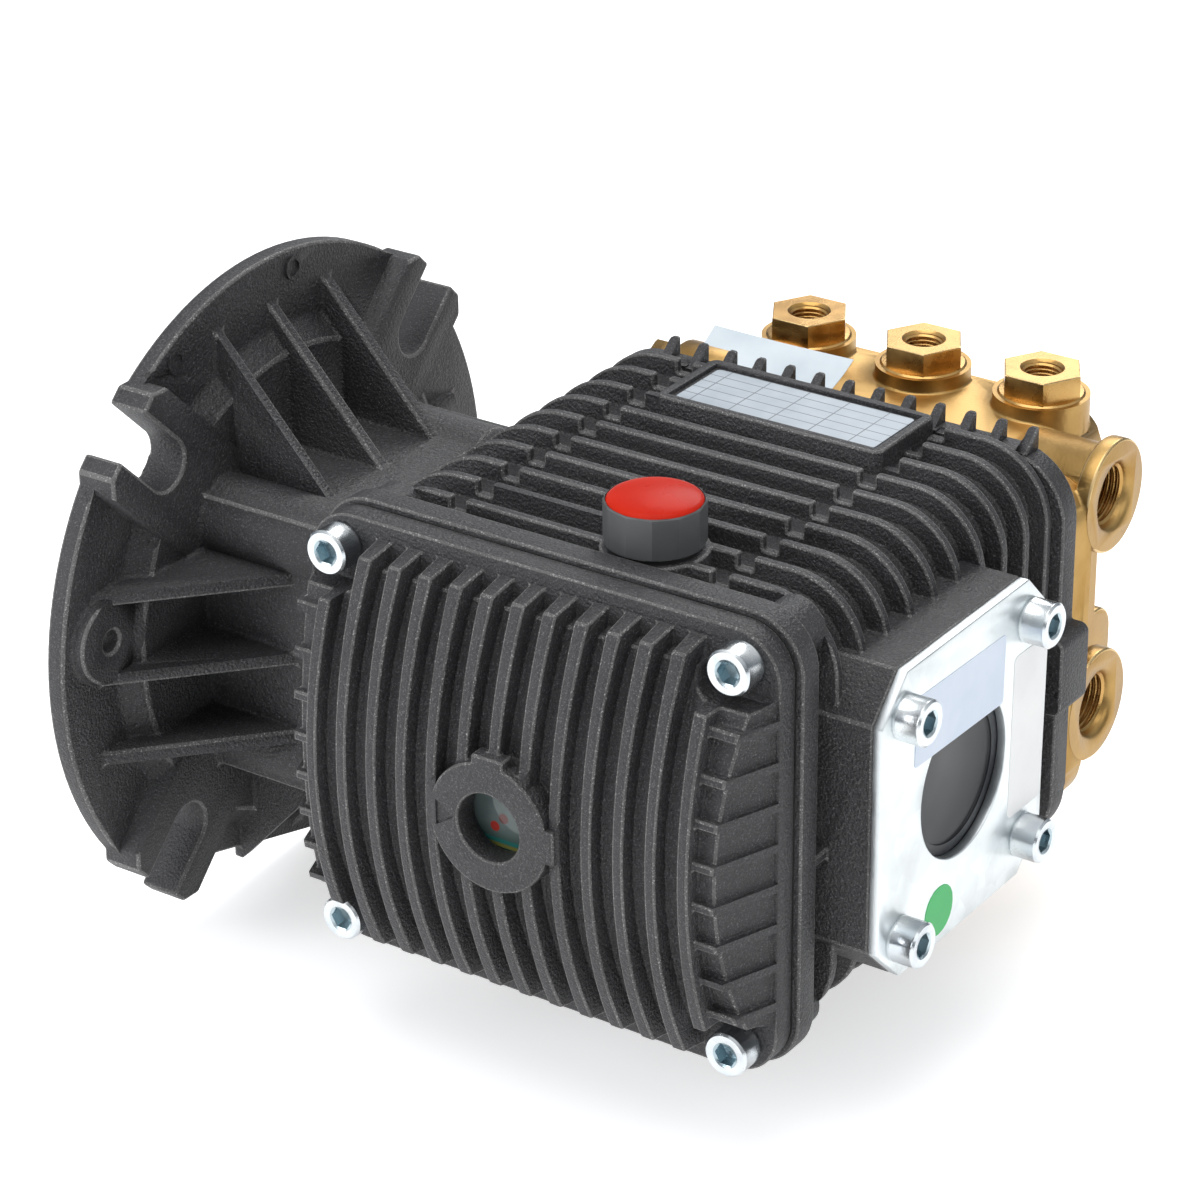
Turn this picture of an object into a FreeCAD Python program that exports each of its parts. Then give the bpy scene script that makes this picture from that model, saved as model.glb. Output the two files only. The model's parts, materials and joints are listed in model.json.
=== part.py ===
import FreeCAD, Part
import math
import os

from FreeCAD import Placement, Rotation, Vector

# A three-plunger pressure washer pump with a petrol engine flange.
# Millimetres. The origin is the centre of the flange's mounting face. X runs along the
# crankshaft into the pump, Y points from the rear cover to the brass head, Z is up.

# Main layout
CYLINDERS = 3
cylinder_pitch = 40.0
stroke = 4.8
plunger_radius = 9.0
hub_end = 59.0            # hub face against the crankcase
left_boss = 12.0          # crankcase boss behind the hub
case_side = 36.0          # case beyond the outer cylinders
right_boss = 12.0         # boss under the bearing plate
rear_reach = 61.0         # crank axis to the crankcase's rear face
case_height = 64.5        # crank axis to the fins' crest, above and below

# Clearances
run_gap = 0.05            # radial, shafts and sliding pieces
thread_gap = 0.1          # radial, screws in their holes
seat_gap = 0.1            # radial, rings and seals in their seats
screw_head_gap = 0.5      # radial, screw heads in their sinks
screw_end_gap = 1.0       # screw's end to the bottom of its hole
blend = 1.0               # how deep a fused form reaches into the one it stands on

# Screws
screw_radius = 4.0
screw_head_radius = 6.5
screw_head_height = 8.0
screw_edge = 0.6
socket_flats = 6.0
socket_depth = 4.5
thread_depth = 15.0
nut_cone_slope = 0.577    # rise of the turned corners, 30 degrees
nut_corner_cut = 0.6      # taken off each corner at the top
pass_hole_radius = 4.3

# Engine flange
flange_radius = 100.0
flange_rim = 6.0
pilot_radius = 73.03
pilot_depth = 6.5
step_outer = 78.0
step_inner = 72.0
step_height = 6.0
rim_flat_depth = 14.0     # a flat cut into the rim's lower rear side
rim_flat_turn = 165.0     # its direction, from straight up towards the rear
engine_bolt_circle = 165.1
notch_width = 15.5
ear_reach = 101.5
ear_width = 35.0
ear_height = 13.0
ear_chamfer = 4.0
hub_half = 43.5
column_radius = 12.5
screw_square = 33.5       # hub and plate screws, from the crank axis
hub_bore_radius = 30.0
gusset_offset = 25.0
gusset_width = 4.0
gusset_margin = 14.0      # gussets' ends inside the rim
gusset_length = 39.0
bracket_boss_radius = 12.5
bracket_boss_height = 10.0
bracket_margin = 17.0     # bracket boss inside the rim
bracket_z = 12.5
bracket_thread_radius = 3.4
flange_screw_sink = 13.5
mark_radius = 3.5         # raised rings left by the mould near the rim
mark_width = 1.0
mark_height = 0.6
mark_turns = (-6.0, 28.0) # degrees from straight up towards the rear

# Crankcase
fin_height = 6.0
cavity_more = 2.0         # the case's walls are that much thinner than the fins' base
fin_width = 3.0
fin_pitch = 12.5
fin_lead = 20.0           # rear face to the first fin
fin_corner = 22.0
fin_corner_less = 2.0     # the low fins' corner is tighter
fin_break_width = 5.0
fin_break_left = 45.0     # from the middle cylinder
fin_break_right = 39.5
break_web = 2.0
wall = 6.0
front_wall = 14.5
rim_out = 1.0             # rim beyond the fins at the sides
rim_over = 3.0            # and above
rim_width = 8.0
rim_corner = 16.0
front_out = 3.0           # front flange beyond the fins at the sides
front_drop = 3.5          # and below their crest
front_width = 8.0
tooth_pitch = 10.0
tooth_margin = 13.0       # last tooth inside the front flange's side
tooth_width = 3.0
tooth_height = 5.0
tooth_shift = 4.5          # the row sits off the middle
plate_half_y = 44.5
plate_half_z = 46.0
plate_chamfer = 12.0
plate_thickness = 3.0
plate_hole_radius = 23.0
end_cap_rim = 3.0         # rim of the end cap that shows inside the plate's hole
end_cap_dish = 0.8
name_frame = (-37.0, 37.0, 43.0, 74.0)   # X from the middle cylinder, and Y
name_frame_rise = 1.5
name_frame_border = 2.5
name_frame_depth = 1.2
lug_reach = 5.5
lug_low = -14.0
lug_high = 10.0
guide_lead = 4.0          # guides start behind the crossheads at mid stroke
guide_wall = 6.0

# Filler, at the top of the crankcase
filler_x = 15.7           # from the middle cylinder
filler_y = -36.8
filler_boss_radius = 15.0
filler_thread_radius = 8.0
filler_thread_length = 11.0
filler_gasket_height = 1.5
filler_cap_radius = 14.0
filler_gasket_in = 2.5
filler_wall = 2.0
filler_bore_rise = 4.0    # the cap's bore above its gasket
filler_disc_depth = 1.5
filler_cap_height = 12.0
filler_disc_radius = 13.2
filler_disc_rise = 2.0
filler_facets = 12

# Drain, at the bottom of the crankcase
drain_y = -30.0
drain_thread_radius = 6.0
drain_flats = 17.0
drain_head_height = 5.0
drain_washer_height = 1.5
drain_boss_radius = 12.0
drain_washer_in = 2.0

# Rear cover
gasket_thickness = 0.5
cover_flange = 7.5
cover_margin_x = 2.0      # cover inside the crankcase's rim
cover_margin_z = 1.5
cover_corner = 14.0
cover_screw_in_x = 11.0   # screws inside the cover's edge
cover_screw_in_z = 9.0
cover_crest = 23.0        # the ribs' crest beyond the screws' seat
cover_end_rise = 9.0      # the ribs' ends beyond the seat
cover_end_in = 6.5        # the bulge's ends inside the edge, at the crest
cover_foot_in = 3.5       # and at the seat
cover_groove = 5.0        # depth between the ribs
cover_side_in = 1.5       # side walls inside the edge, at the seat
cover_side_slope = 8.5    # and how far they lean in towards the crest
cover_corner_x = 11.0     # room around the screws
cover_corner_z = 10.0
cover_wall = 5.0
cover_rib_pitch = 10.0
cover_rib_base = 5.5
cover_rib_crest = 3.2
side_rib_pitch = 12.0
side_rib_width = 2.5
side_rib_height = 1.6
sight_boss_radius = 19.0
sight_boss_reach = 24.5   # beyond the screws' seat
sight_hole_radius = 10.0
sight_seat_radius = 13.0
sight_tube_radius = 16.5
sight_tab_width = 10.0    # square tabs above and beside the boss
sight_tab_reach = 21.0
sight_tab_depth = 5.0
sight_arrow_length = 6.0  # an arrow sunk into the boss's face, pointing at the glass
sight_arrow_width = 8.0
sight_arrow_depth = 0.6
lens_thickness = 4.0
lens_depth = 8.0          # lens behind the boss's face
reflector_gap = 3.0
reflector_rim = 1.0       # the cup is wider than the hole before it
reflector_thickness = 1.0

# Crankshaft and bearings
shaft_radius = 17.5
shaft_bore_radius = 12.7
shaft_bore_end = 92.0
shaft_start = 12.0
key_width = 6.35
key_reach = 15.6
eccentric_radius = 21.0
eccentric_width = 21.0
web_radius = 18.0
web_collar = 1.0          # the bearings' collars stand above the webs
bearing_radius = 36.0
race_relief = 1.0         # keeps the end cap off the outer ring
bearing_width = 17.0
left_bearing_in = 9.0     # from the hub's face
right_bearing_in = 6.0    # from the plate's seat
bearing_collar_radius = 42.0
collar_short = 2.0        # the collars reach past the bearings
bearing_pocket_more = 3.0
shaft_end_in = 0.5        # the shaft's end inside the right bearing
race_inner_radius = 23.5
race_outer_radius = 30.2
ball_radius = 5.5
ball_count = 8
cage_half_width = 6.6
cage_radial = 1.5
oil_seal_radius = 26.0
oil_seal_width = 7.0
oil_seal_in = 1.0         # from the hub's face
oil_seal_rim = 2.0
oil_seal_dish = 4.0

# Rods, crossheads and plungers
rod_length = 47.0
rod_big_radius = 27.0
rod_big_width = 20.0
rod_ear_reach = 34.0
rod_ear_half = 7.0
rod_screw_offset = 29.5
rod_screw_radius = 2.5
rod_screw_head_radius = 4.2
rod_screw_head_height = 5.0
rod_seat_gap = 0.3        # radial, rod screw heads in the cap
rod_screw_short = 0.5     # screw's end inside the rod's ear
round_short = 0.1         # keeps the eyes' ends from closing to a point
rod_slot_half_y = 10.0
rod_slot_half_z = 7.6
rod_small_wall = 3.0
rod_small_width = 11.0
eye_face_in = 1.0
wrist_pin_radius = 5.0
pin_end_in = 0.5          # the pin's ends inside the crosshead
guide_web = 6.0           # between two crossheads' guides
tail_clearance = 8.0      # rod's big end to the crosshead's tail
crosshead_nose = 22.5
nose_clearance = 3.6      # crosshead to its oil seal at full stroke
crosshead_pocket_half = 6.3
crosshead_web = 4.3
crosshead_wall = 2.5      # beside the tail's pocket
guide_end_in = 1.5        # the guides end short of the oil seals
stem_past_face = 5.5      # stem's end beyond the crankcase's face, at mid stroke
ceramic_length = 34.0
plunger_bolt_radius = 3.0
plunger_bolt_head_radius = 7.5
plunger_bolt_head_height = 4.0
socket_floor = 1.0        # left under the socket
stem_seal_radius = 14.0
stem_seal_width = 7.0

# Brass head
head_depth = 57.5         # crankcase face to the upper front face
head_lip = 10.0           # the lower front stands further out
head_lip_top = -18.0
lip_corner = 9.0
head_flange_in = 1.0      # inside the crankcase's front flange
head_flange_depth = 11.5
head_flange_bottom = 56.0
head_margin = 17.0        # block beyond the outer cylinders
head_top = 48.5
head_bottom = 52.0
head_corner = 14.0
boss_radius = 14.4
boss_top = 53.0
boss_bottom = 56.0
cap_recess = 1.5
cap_gap = 0.4             # radial, the caps' collars in their recesses
valve_depth = 49.2        # crankcase's face to the valves
valve_bore_radius = 11.1
chamber_radius = 9.5
chamber_half = 13.0
pump_bore_radius = 11.0
weep_radius = 14.5
weep_depth = 8.5
packing_radius = 14.0
low_seal_width = 5.5
packing_ring_width = 7.5
high_packing_width = 9.0
discharge_depth = 24.5    # and to the two galleries
discharge_z = 38.4
inlet_depth = 19.5
inlet_z = -26.7
gallery_radius = 6.5
port_thread_radius = 9.32
port_thread_depth = 16.0
port_collar_radius = 17.0
port_collar_width = 5.0
port_neck_radius = 14.0
port_neck_inside = 6.0
port_proud = 0.2          # ports' faces beyond the head's flange
plug_sink = 7.0           # the far ends of the galleries inside it
plug_seat_gap = 1.0       # radial, round the plugs' corners
plug_stem_short = 2.0     # the plugs' ends to the end of the thread
plug_washer_width = 2.0
port_chamfer = 1.7
link_radius = 4.5
link_offset = 1.0
link_land = 0.2           # of metal left beside the links' windows
plug_flats = 22.0
plug_head_height = 8.0
plug_washer_thickness = 1.5
long_screw_z = (21.5, -43.0)
short_screw_in = 14.0     # inside the crankcase's front flange
short_screw_z = (8.0, -48.0)
head_thread_depth = 12.0

# Valves and their caps
seat_height = 4.0
seat_bore_radius = 5.5
valve_cage_height = 11.0
valve_cage_wall = 1.6
valve_cage_spider = 2.5
valve_window = 8.0
cage_sill = 3.0           # the windows' lower edge above the cage's foot
valve_bar = 2.5
poppet_radius = 7.5
poppet_thickness = 2.0
poppet_stem_radius = 1.5
poppet_stem_length = 3.0
spring_radius = 4.5
spring_land = 1.0         # the ring that the spring bears on
spring_wire_radius = 0.5
spring_turns = 3
spring_end_gap = 0.3
cap_nose_radius = 7.5
cap_nose_length = 8.0
cap_nose_more = 2.0       # the lower caps' noses are longer
cap_flats = 22.0
cap_hex_height = 7.1
cap_collar_radius = 12.6
cap_collar_height = 2.0
cap_thread_radius = 5.72  # gauge thread in each upper cap
cap_thread_depth = 14.0
cap_mouth_chamfer = 0.9
oring_radius = 0.9
oring_depth = 4.0         # below each cap's shoulder

# Places that follow from the sizes
X_AXIS = Vector(1, 0, 0)
Y_AXIS = Vector(0, 1, 0)
Z_AXIS = Vector(0, 0, 1)
case_width = (CYLINDERS - 1) * cylinder_pitch + 2 * case_side
case_left = hub_end + left_boss
case_right = case_left + case_width
plate_seat = case_right + right_boss
left_bearing_start = hub_end + left_bearing_in
right_bearing_end = plate_seat - right_bearing_in
oil_seal_start = hub_end + oil_seal_in
mid_x = (case_left + case_right) / 2
cylinder_x = [mid_x + (i - (CYLINDERS - 1) / 2) * cylinder_pitch for i in range(CYLINDERS)]
eccentricity = stroke / 2
crank_angles = [90.0 + 120.0 * i for i in range(CYLINDERS)]
crank_y = [eccentricity * math.cos(math.radians(a)) for a in crank_angles]
crank_z = [eccentricity * math.sin(math.radians(a)) for a in crank_angles]
rim_flat = flange_radius - rim_flat_depth
gusset_reach = flange_radius - gusset_margin
bracket_y = bracket_margin - flange_radius
rim_half = case_width / 2 + rim_out
rim_height = case_height + rim_over
front_half = case_width / 2 + front_out
front_top = case_height - front_drop
tooth_row_half = front_half - tooth_margin - tooth_shift - tooth_width / 2
tooth_count = 2 * int(tooth_row_half / tooth_pitch) + 1
cover_half_x = rim_half - cover_margin_x
cover_half_z = rim_height - cover_margin_z
cover_screw_x = cover_half_x - cover_screw_in_x
cover_screw_z = cover_half_z - cover_screw_in_z
cover_end_half_z = cover_half_z - cover_end_in
cover_foot_half_z = cover_half_z - cover_foot_in
cover_side_foot = cover_half_x - cover_side_in
cover_side_crest = cover_side_foot - cover_side_slope
cover_corner_half_x = cover_screw_x - cover_corner_x
cover_corner_half_z = cover_screw_z - cover_corner_z
cover_rib_count = 2 * int(cover_side_crest / cover_rib_pitch) + 1
side_rib_count = 2 * int(cover_end_half_z / side_rib_pitch)
cover_back = -rear_reach - gasket_thickness
cover_seat = cover_back - cover_flange
crosshead_tail = rod_length - rod_big_radius - tail_clearance
front_reach = rod_length + crosshead_nose + eccentricity + nose_clearance + stem_seal_width
stem_end = front_reach + stem_past_face - rod_length
guide_block_start = rod_length - crosshead_tail - guide_lead
crosshead_radius = (cylinder_pitch - guide_web) / 2
guide_radius = crosshead_radius + run_gap
fin_first = fin_lead - rear_reach
fin_count = int((front_reach - front_width - fin_first) / fin_pitch) + 1
head_front = front_reach + head_depth
head_half = (CYLINDERS - 1) / 2 * cylinder_pitch + head_margin
head_flange_half = front_half - head_flange_in
port_face = head_flange_half + port_proud
plug_face = head_flange_half - plug_sink
long_screw_x = cylinder_pitch / 2
short_screw_x = front_half - short_screw_in
valve_y = front_reach + valve_depth
discharge_y = front_reach + discharge_depth
inlet_y = front_reach + inlet_depth
packing_start = front_reach + weep_depth
packing_end = packing_start + low_seal_width + packing_ring_width + high_packing_width
lens_front = cover_seat - sight_boss_reach + lens_depth
sight_tube_end = lens_front + lens_thickness + reflector_gap + reflector_thickness


def rod_x(radius, x0, x1, y=0.0, z=0.0):
    return Part.makeCylinder(radius, x1 - x0, Vector(x0, y, z), X_AXIS)


def rod_y(radius, y0, y1, x, z=0.0):
    return Part.makeCylinder(radius, y1 - y0, Vector(x, y0, z), Y_AXIS)


def rod_z(radius, z0, z1, x, y):
    return Part.makeCylinder(radius, z1 - z0, Vector(x, y, z0), Z_AXIS)


def block(x0, x1, y0, y1, z0, z1):
    return Part.makeBox(x1 - x0, y1 - y0, z1 - z0, Vector(x0, y0, z0))


def edges_along(shape, axis):
    """The shape's straight edges that run along an axis."""
    found = []
    for edge in shape.Edges:
        step = edge.Vertexes[-1].Point - edge.Vertexes[0].Point
        if step.Length > 0 and abs(step.normalize().dot(axis)) > 0.999:
            found.append(edge)
    return found


def rounded(shape, axis, radius):
    return shape.makeFillet(radius, edges_along(shape, axis))


def chamfered(shape, axis, size):
    return shape.makeChamfer(size, edges_along(shape, axis))


def prism(points, vector):
    """A flat outline of corner points, extruded."""
    corners = [Vector(*p) for p in points]
    return Part.Face(Part.makePolygon(corners + corners[:1])).extrude(vector)


def hex_bar(flats, base, direction, length):
    corner = flats / math.sqrt(3)
    ring = [(corner * math.cos(math.radians(60 * k)), corner * math.sin(math.radians(60 * k)), 0)
            for k in range(6)]
    bar = prism(ring, Z_AXIS * length)
    bar.Placement = Placement(base, Rotation(Z_AXIS, direction))
    return bar


def cap_screw(seat, inward, length):
    """A socket head screw whose head sits on the seat point."""
    top = seat - inward * screw_head_height
    edge = Part.makeCone(screw_head_radius - screw_edge, screw_head_radius, screw_edge, top, inward)
    head = Part.makeCylinder(screw_head_radius, screw_head_height - screw_edge, top + inward * screw_edge, inward)
    shank = Part.makeCylinder(screw_radius, length, seat, inward)
    return fused(edge, [head, shank]).cut(hex_bar(socket_flats, top, inward, socket_depth))


def nut_hex(flats, base, direction, length):
    """A hexagon whose corners are turned off to a cone at its far end, as on a machined nut."""
    top_radius = flats / math.sqrt(3) - nut_corner_cut
    cone = Part.makeCone(top_radius + length / nut_cone_slope, top_radius, length, base, direction)
    return hex_bar(flats, base, direction, length).common(cone)


def square_points(y, z):
    return [(sy * y, sz * z) for sy in (-1, 1) for sz in (-1, 1)]


def fused(first, others):
    return first.multiFuse(others).removeSplitter()


# Engine flange

def flange_ear():
    """One ear with its open notch, lying towards +Y before it is turned."""
    half = ear_width / 2
    inner = screw_square
    outline = [(0, inner, -half), (0, ear_reach - ear_chamfer, -half), (0, ear_reach, ear_chamfer - half),
               (0, ear_reach, half - ear_chamfer), (0, ear_reach - ear_chamfer, half), (0, inner, half)]
    return prism(outline, X_AXIS * ear_height)


def flange_notch():
    radius = notch_width / 2
    centre = engine_bolt_circle / 2
    depth = ear_height + step_height
    mouth = prism([(0, centre, -radius), (0, ear_reach + blend, -radius), (0, ear_reach + blend, radius),
                   (0, centre, radius)], X_AXIS * depth)
    return rod_x(radius, 0, depth, centre).fuse(mouth)


def flange_gusset(offset):
    """One triangular rib on the +Z side, from the disc to the hub."""
    root = hub_half - gusset_width
    outline = [(flange_rim / 2, offset, root), (flange_rim / 2, offset, gusset_reach),
               (flange_rim, offset, gusset_reach), (flange_rim + gusset_length, offset, hub_half),
               (flange_rim + gusset_length, offset, root)]
    rib = prism(outline, Y_AXIS * gusset_width)
    return rib.translated(Vector(0, -gusset_width / 2, 0))


def turned_x(shape, degrees):
    copy = shape.copy()
    copy.rotate(Vector(0, 0, 0), X_AXIS, degrees)
    return copy


def flange_disc():
    flat = block(0, flange_rim, -flange_radius, flange_radius, rim_flat, flange_radius)
    return rod_x(flange_radius, 0, flange_rim).cut(turned_x(flat, rim_flat_turn))


def flange_mark(degrees):
    reach = flange_radius - 2 * mark_radius + mark_width
    top = flange_rim + mark_height
    ring = rod_x(mark_radius, flange_rim / 2, top, 0, reach)
    return turned_x(ring.cut(rod_x(mark_radius - mark_width, flange_rim, top, 0, reach)), degrees)


def engine_flange():
    disc = flange_disc()
    step = Part.makeCone(step_outer, step_inner, step_height, Vector(flange_rim, 0, 0), X_AXIS)
    hub = block(flange_rim, hub_end, -hub_half, hub_half, -hub_half, hub_half)
    columns = [rod_x(column_radius, flange_rim, hub_end, y, z)
               for y, z in square_points(screw_square, screw_square)]
    ears = [turned_x(flange_ear(), 45 + 90 * k) for k in range(4)]
    gussets = [turned_x(flange_gusset(offset), 90 * k)
               for k in range(4) for offset in (-gusset_offset, 0, gusset_offset)]
    boss = rod_x(bracket_boss_radius, 0, bracket_boss_height, bracket_y, bracket_z)
    marks = [flange_mark(turn) for turn in mark_turns]
    flange = fused(disc, [step, hub, boss] + columns + ears + gussets + marks)
    cuts = [rod_x(pilot_radius, 0, pilot_depth), rod_x(hub_bore_radius, 0, hub_end),
            rod_x(bracket_thread_radius, 0, bracket_boss_height, bracket_y, bracket_z)]
    cuts += [turned_x(flange_notch(), 45 + 90 * k) for k in range(4)]
    for y, z in square_points(screw_square, screw_square):
        cuts.append(rod_x(pass_hole_radius, pilot_depth, hub_end, y, z))
        cuts.append(rod_x(screw_head_radius + screw_head_gap, pilot_depth, pilot_depth + flange_screw_sink, y, z))
    return flange.cut(cuts)


def flange_screws():
    seat = pilot_depth + flange_screw_sink
    length = hub_end + thread_depth - screw_end_gap - seat
    return [cap_screw(Vector(seat, y, z), X_AXIS, length)
            for y, z in square_points(screw_square, screw_square)]


# Crankcase

def case_section(half_width, half_height, corner, y0, y1):
    body = block(mid_x - half_width, mid_x + half_width, y0, y1, -half_height, half_height)
    return rounded(body, Y_AXIS, corner)


def case_fins():
    fins = []
    for k in range(fin_count):
        middle = fin_first + k * fin_pitch
        fins.append(case_section(case_width / 2, case_height, fin_corner,
                                 middle - fin_width / 2, middle + fin_width / 2))
    return fins


def fin_breaks():
    """The two gaps that cross the top fins, down to a low web."""
    low = case_height - fin_height + break_web
    start = fin_first - fin_pitch
    end = fin_first + (fin_count - 0.5) * fin_pitch
    return [block(x - fin_break_width / 2, x + fin_break_width / 2, start, end, low, case_height + blend)
            for x in (mid_x - fin_break_left, mid_x + fin_break_right)]


def front_flange():
    start = front_reach - front_width
    plate = block(mid_x - front_half, mid_x + front_half, start, front_reach, -case_height, front_top)
    return rounded(plate, Y_AXIS, fin_corner - fin_corner_less)


def front_teeth():
    """Small pointed ribs along the top of the front flange."""
    teeth = []
    for k in range(tooth_count):
        x = mid_x + tooth_shift + (k - (tooth_count - 1) / 2) * tooth_pitch - tooth_width / 2
        low = front_top - blend
        outline = [(x, front_reach - front_width, low), (x, front_reach, low),
                   (x, front_reach, front_top + tooth_height), (x, front_reach - blend, front_top + tooth_height)]
        teeth.append(prism(outline, X_AXIS * tooth_width))
    return teeth


def name_frame_block():
    x0, x1, y0, y1 = name_frame
    base = case_height - fin_height - blend
    pad = block(mid_x + x0, mid_x + x1, y0, y1, base, case_height + name_frame_rise)
    pad = rounded(pad, Z_AXIS, name_frame_border)
    edge = name_frame_border
    top = case_height + name_frame_rise
    pocket = block(mid_x + x0 + edge, mid_x + x1 - edge, y0 + edge, y1 - edge, top - name_frame_depth, top)
    return pad, pocket


def left_boss_block():
    start = hub_end
    end = case_left + wall
    square = block(start, end, -hub_half, hub_half, -hub_half, hub_half)
    columns = [rod_x(column_radius, start, end, y, z) for y, z in square_points(screw_square, screw_square)]
    return [square] + columns


def right_boss_block():
    boss = block(case_right - fin_height - blend, plate_seat, -plate_half_y, plate_half_y,
                 -plate_half_z, plate_half_z)
    return chamfered(boss, X_AXIS, plate_chamfer)


def side_lug():
    """A rounded lug on the front flange's right side."""
    start = front_reach - 2 * front_width
    lug = block(case_right - wall, mid_x + front_half + lug_reach, start, front_reach, lug_low, lug_high)
    return rounded(lug, Y_AXIS, lug_reach / 2)


def bearing_collars():
    left = rod_x(bearing_collar_radius, case_left, left_bearing_start + bearing_width - collar_short)
    right = rod_x(bearing_collar_radius, right_bearing_end - bearing_width - collar_short, case_right)
    return [left, right]


def guide_block():
    half = crosshead_radius + guide_wall
    return block(case_left + wall, case_right - wall, guide_block_start, front_reach, -half, half)


def cover_screw_columns():
    return [rod_y(2 * screw_radius, -rear_reach, thread_depth + 4 - rear_reach, mid_x + x, z)
            for x, z in square_points(cover_screw_x, cover_screw_z)]


def case_cavity():
    half_x = case_width / 2 - fin_height - wall + cavity_more
    half_z = case_height - fin_height - wall + cavity_more
    return case_section(half_x, half_z, wall, -rear_reach, front_reach - front_wall)


def case_bores():
    inner_left = left_bearing_start
    cuts = [rod_x(oil_seal_radius + seat_gap, hub_end, inner_left),
            rod_x(bearing_radius + seat_gap, inner_left, inner_left + bearing_width),
            rod_x(bearing_radius + seat_gap, right_bearing_end - bearing_width - bearing_pocket_more, plate_seat)]
    for x in cylinder_x:
        cuts.append(rod_y(guide_radius, guide_block_start, front_reach - stem_seal_width - guide_end_in, x))
        cuts.append(rod_y(stem_seal_radius + seat_gap, guide_block_start, front_reach, x))
    return cuts


def head_screw_places():
    """Long screws through the head's body, then short ones through its flange."""
    long_ones = [(mid_x + side * long_screw_x, z) for side in (-1, 1) for z in long_screw_z]
    short_ones = [(mid_x + side * short_screw_x, z) for side in (-1, 1) for z in short_screw_z]
    return long_ones + short_ones


def case_threads():
    radius = screw_radius + thread_gap
    cuts = []
    for y, z in square_points(screw_square, screw_square):
        cuts.append(rod_x(radius, hub_end, hub_end + thread_depth, y, z))
        cuts.append(rod_x(radius, plate_seat - thread_depth, plate_seat, y, z))
    for x, z in square_points(cover_screw_x, cover_screw_z):
        cuts.append(rod_y(radius, -rear_reach, thread_depth - rear_reach, mid_x + x, z))
    for x, z in head_screw_places():
        cuts.append(rod_y(radius, front_reach - head_thread_depth, front_reach, x, z))
    return cuts


def crankcase():
    core = case_section(case_width / 2 - fin_height, case_height - fin_height, fin_corner - fin_height,
                        -rear_reach, front_reach)
    rim = case_section(rim_half, rim_height, rim_corner, -rear_reach, rim_width - rear_reach)
    pad, pocket = name_frame_block()
    filler_boss = rod_z(filler_boss_radius, case_height - fin_height - blend, case_height,
                        mid_x + filler_x, filler_y)
    drain_boss = rod_z(drain_boss_radius, -case_height, fin_height + blend - case_height, mid_x, drain_y)
    bridge = block(case_right - fin_height, case_right - blend, rim_width - rear_reach - blend, fin_first + fin_pitch,
                   -fin_height - fin_width, -fin_height)
    bosses = [right_boss_block(), side_lug(), filler_boss, drain_boss, bridge]
    outside = case_fins() + [rim, front_flange()] + bosses
    case = fused(core, outside + left_boss_block()).cut(fin_breaks())
    case = fused(case, front_teeth() + [pad]).cut([pocket, case_cavity()])
    case = fused(case, [guide_block()] + bearing_collars() + cover_screw_columns())
    cavity_top = case_height - fin_height - wall
    filler_hole = rod_z(filler_thread_radius + thread_gap, cavity_top, case_height,
                        mid_x + filler_x, filler_y)
    drain_hole = rod_z(drain_thread_radius + thread_gap, -case_height, -cavity_top, mid_x, drain_y)
    return case.cut(case_bores() + case_threads() + [filler_hole, drain_hole])


# Rear cover with its sight glass

def dome_solid(inset):
    """The cover's bulge in side view: steep ends and an arc between them, across the full width."""
    left = mid_x - cover_half_x
    rear = cover_seat - cover_end_rise + inset
    foot_low = Vector(left, cover_back, -cover_foot_half_z + inset)
    foot_high = Vector(left, cover_back, cover_foot_half_z - inset)
    end_low = Vector(left, rear, -cover_end_half_z + inset)
    end_high = Vector(left, rear, cover_end_half_z - inset)
    arc = Part.Arc(end_low, Vector(left, cover_seat - cover_crest + inset, 0), end_high).toShape()
    sides = [Part.makeLine(end_high, foot_high), Part.makeLine(foot_high, foot_low),
             Part.makeLine(foot_low, end_low)]
    return Part.Face(Part.Wire([arc] + sides)).extrude(X_AXIS * (2 * cover_half_x))


def cover_plan(inset):
    """The bulge's outline from above, with sloping side walls."""
    low = -cover_foot_half_z
    foot = cover_side_foot - inset
    top = cover_side_crest - inset
    crest = cover_seat - cover_crest
    points = [(mid_x - foot, cover_back, low), (mid_x - foot, cover_seat, low), (mid_x - top, crest, low),
              (mid_x + top, crest, low), (mid_x + foot, cover_seat, low), (mid_x + foot, cover_back, low)]
    return prism(points, Z_AXIS * (2 * cover_foot_half_z))


def cover_corner_clearances(inset):
    """Room for the four screws at the bulge's corners."""
    clear = []
    tall = cover_half_z + blend
    for side_x, side_z in square_points(1, 1):
        x0, x1 = sorted((mid_x + side_x * (cover_corner_half_x - inset), mid_x + side_x * (cover_half_x + blend)))
        z0, z1 = sorted((side_z * (cover_corner_half_z - inset), side_z * tall))
        corner = block(x0, x1, cover_seat - cover_crest - blend, cover_seat + inset, z0, z1)
        clear.append(rounded(corner, Y_AXIS, screw_head_radius))
    return clear


def cover_ribs():
    """Upright ribs across the bulge, narrower at the crest."""
    arc_body = dome_solid(0)
    base, crest = cover_rib_base / 2, cover_rib_crest / 2
    tip = cover_seat - cover_crest - blend
    low = -cover_foot_half_z
    ribs = []
    for k in range(cover_rib_count):
        x = mid_x + (k - (cover_rib_count - 1) / 2) * cover_rib_pitch
        outline = [(x - base, cover_back, low), (x - crest, tip, low),
                   (x + crest, tip, low), (x + base, cover_back, low)]
        ribs.append(arc_body.common(prism(outline, Z_AXIS * (2 * cover_foot_half_z))))
    return ribs


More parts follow.
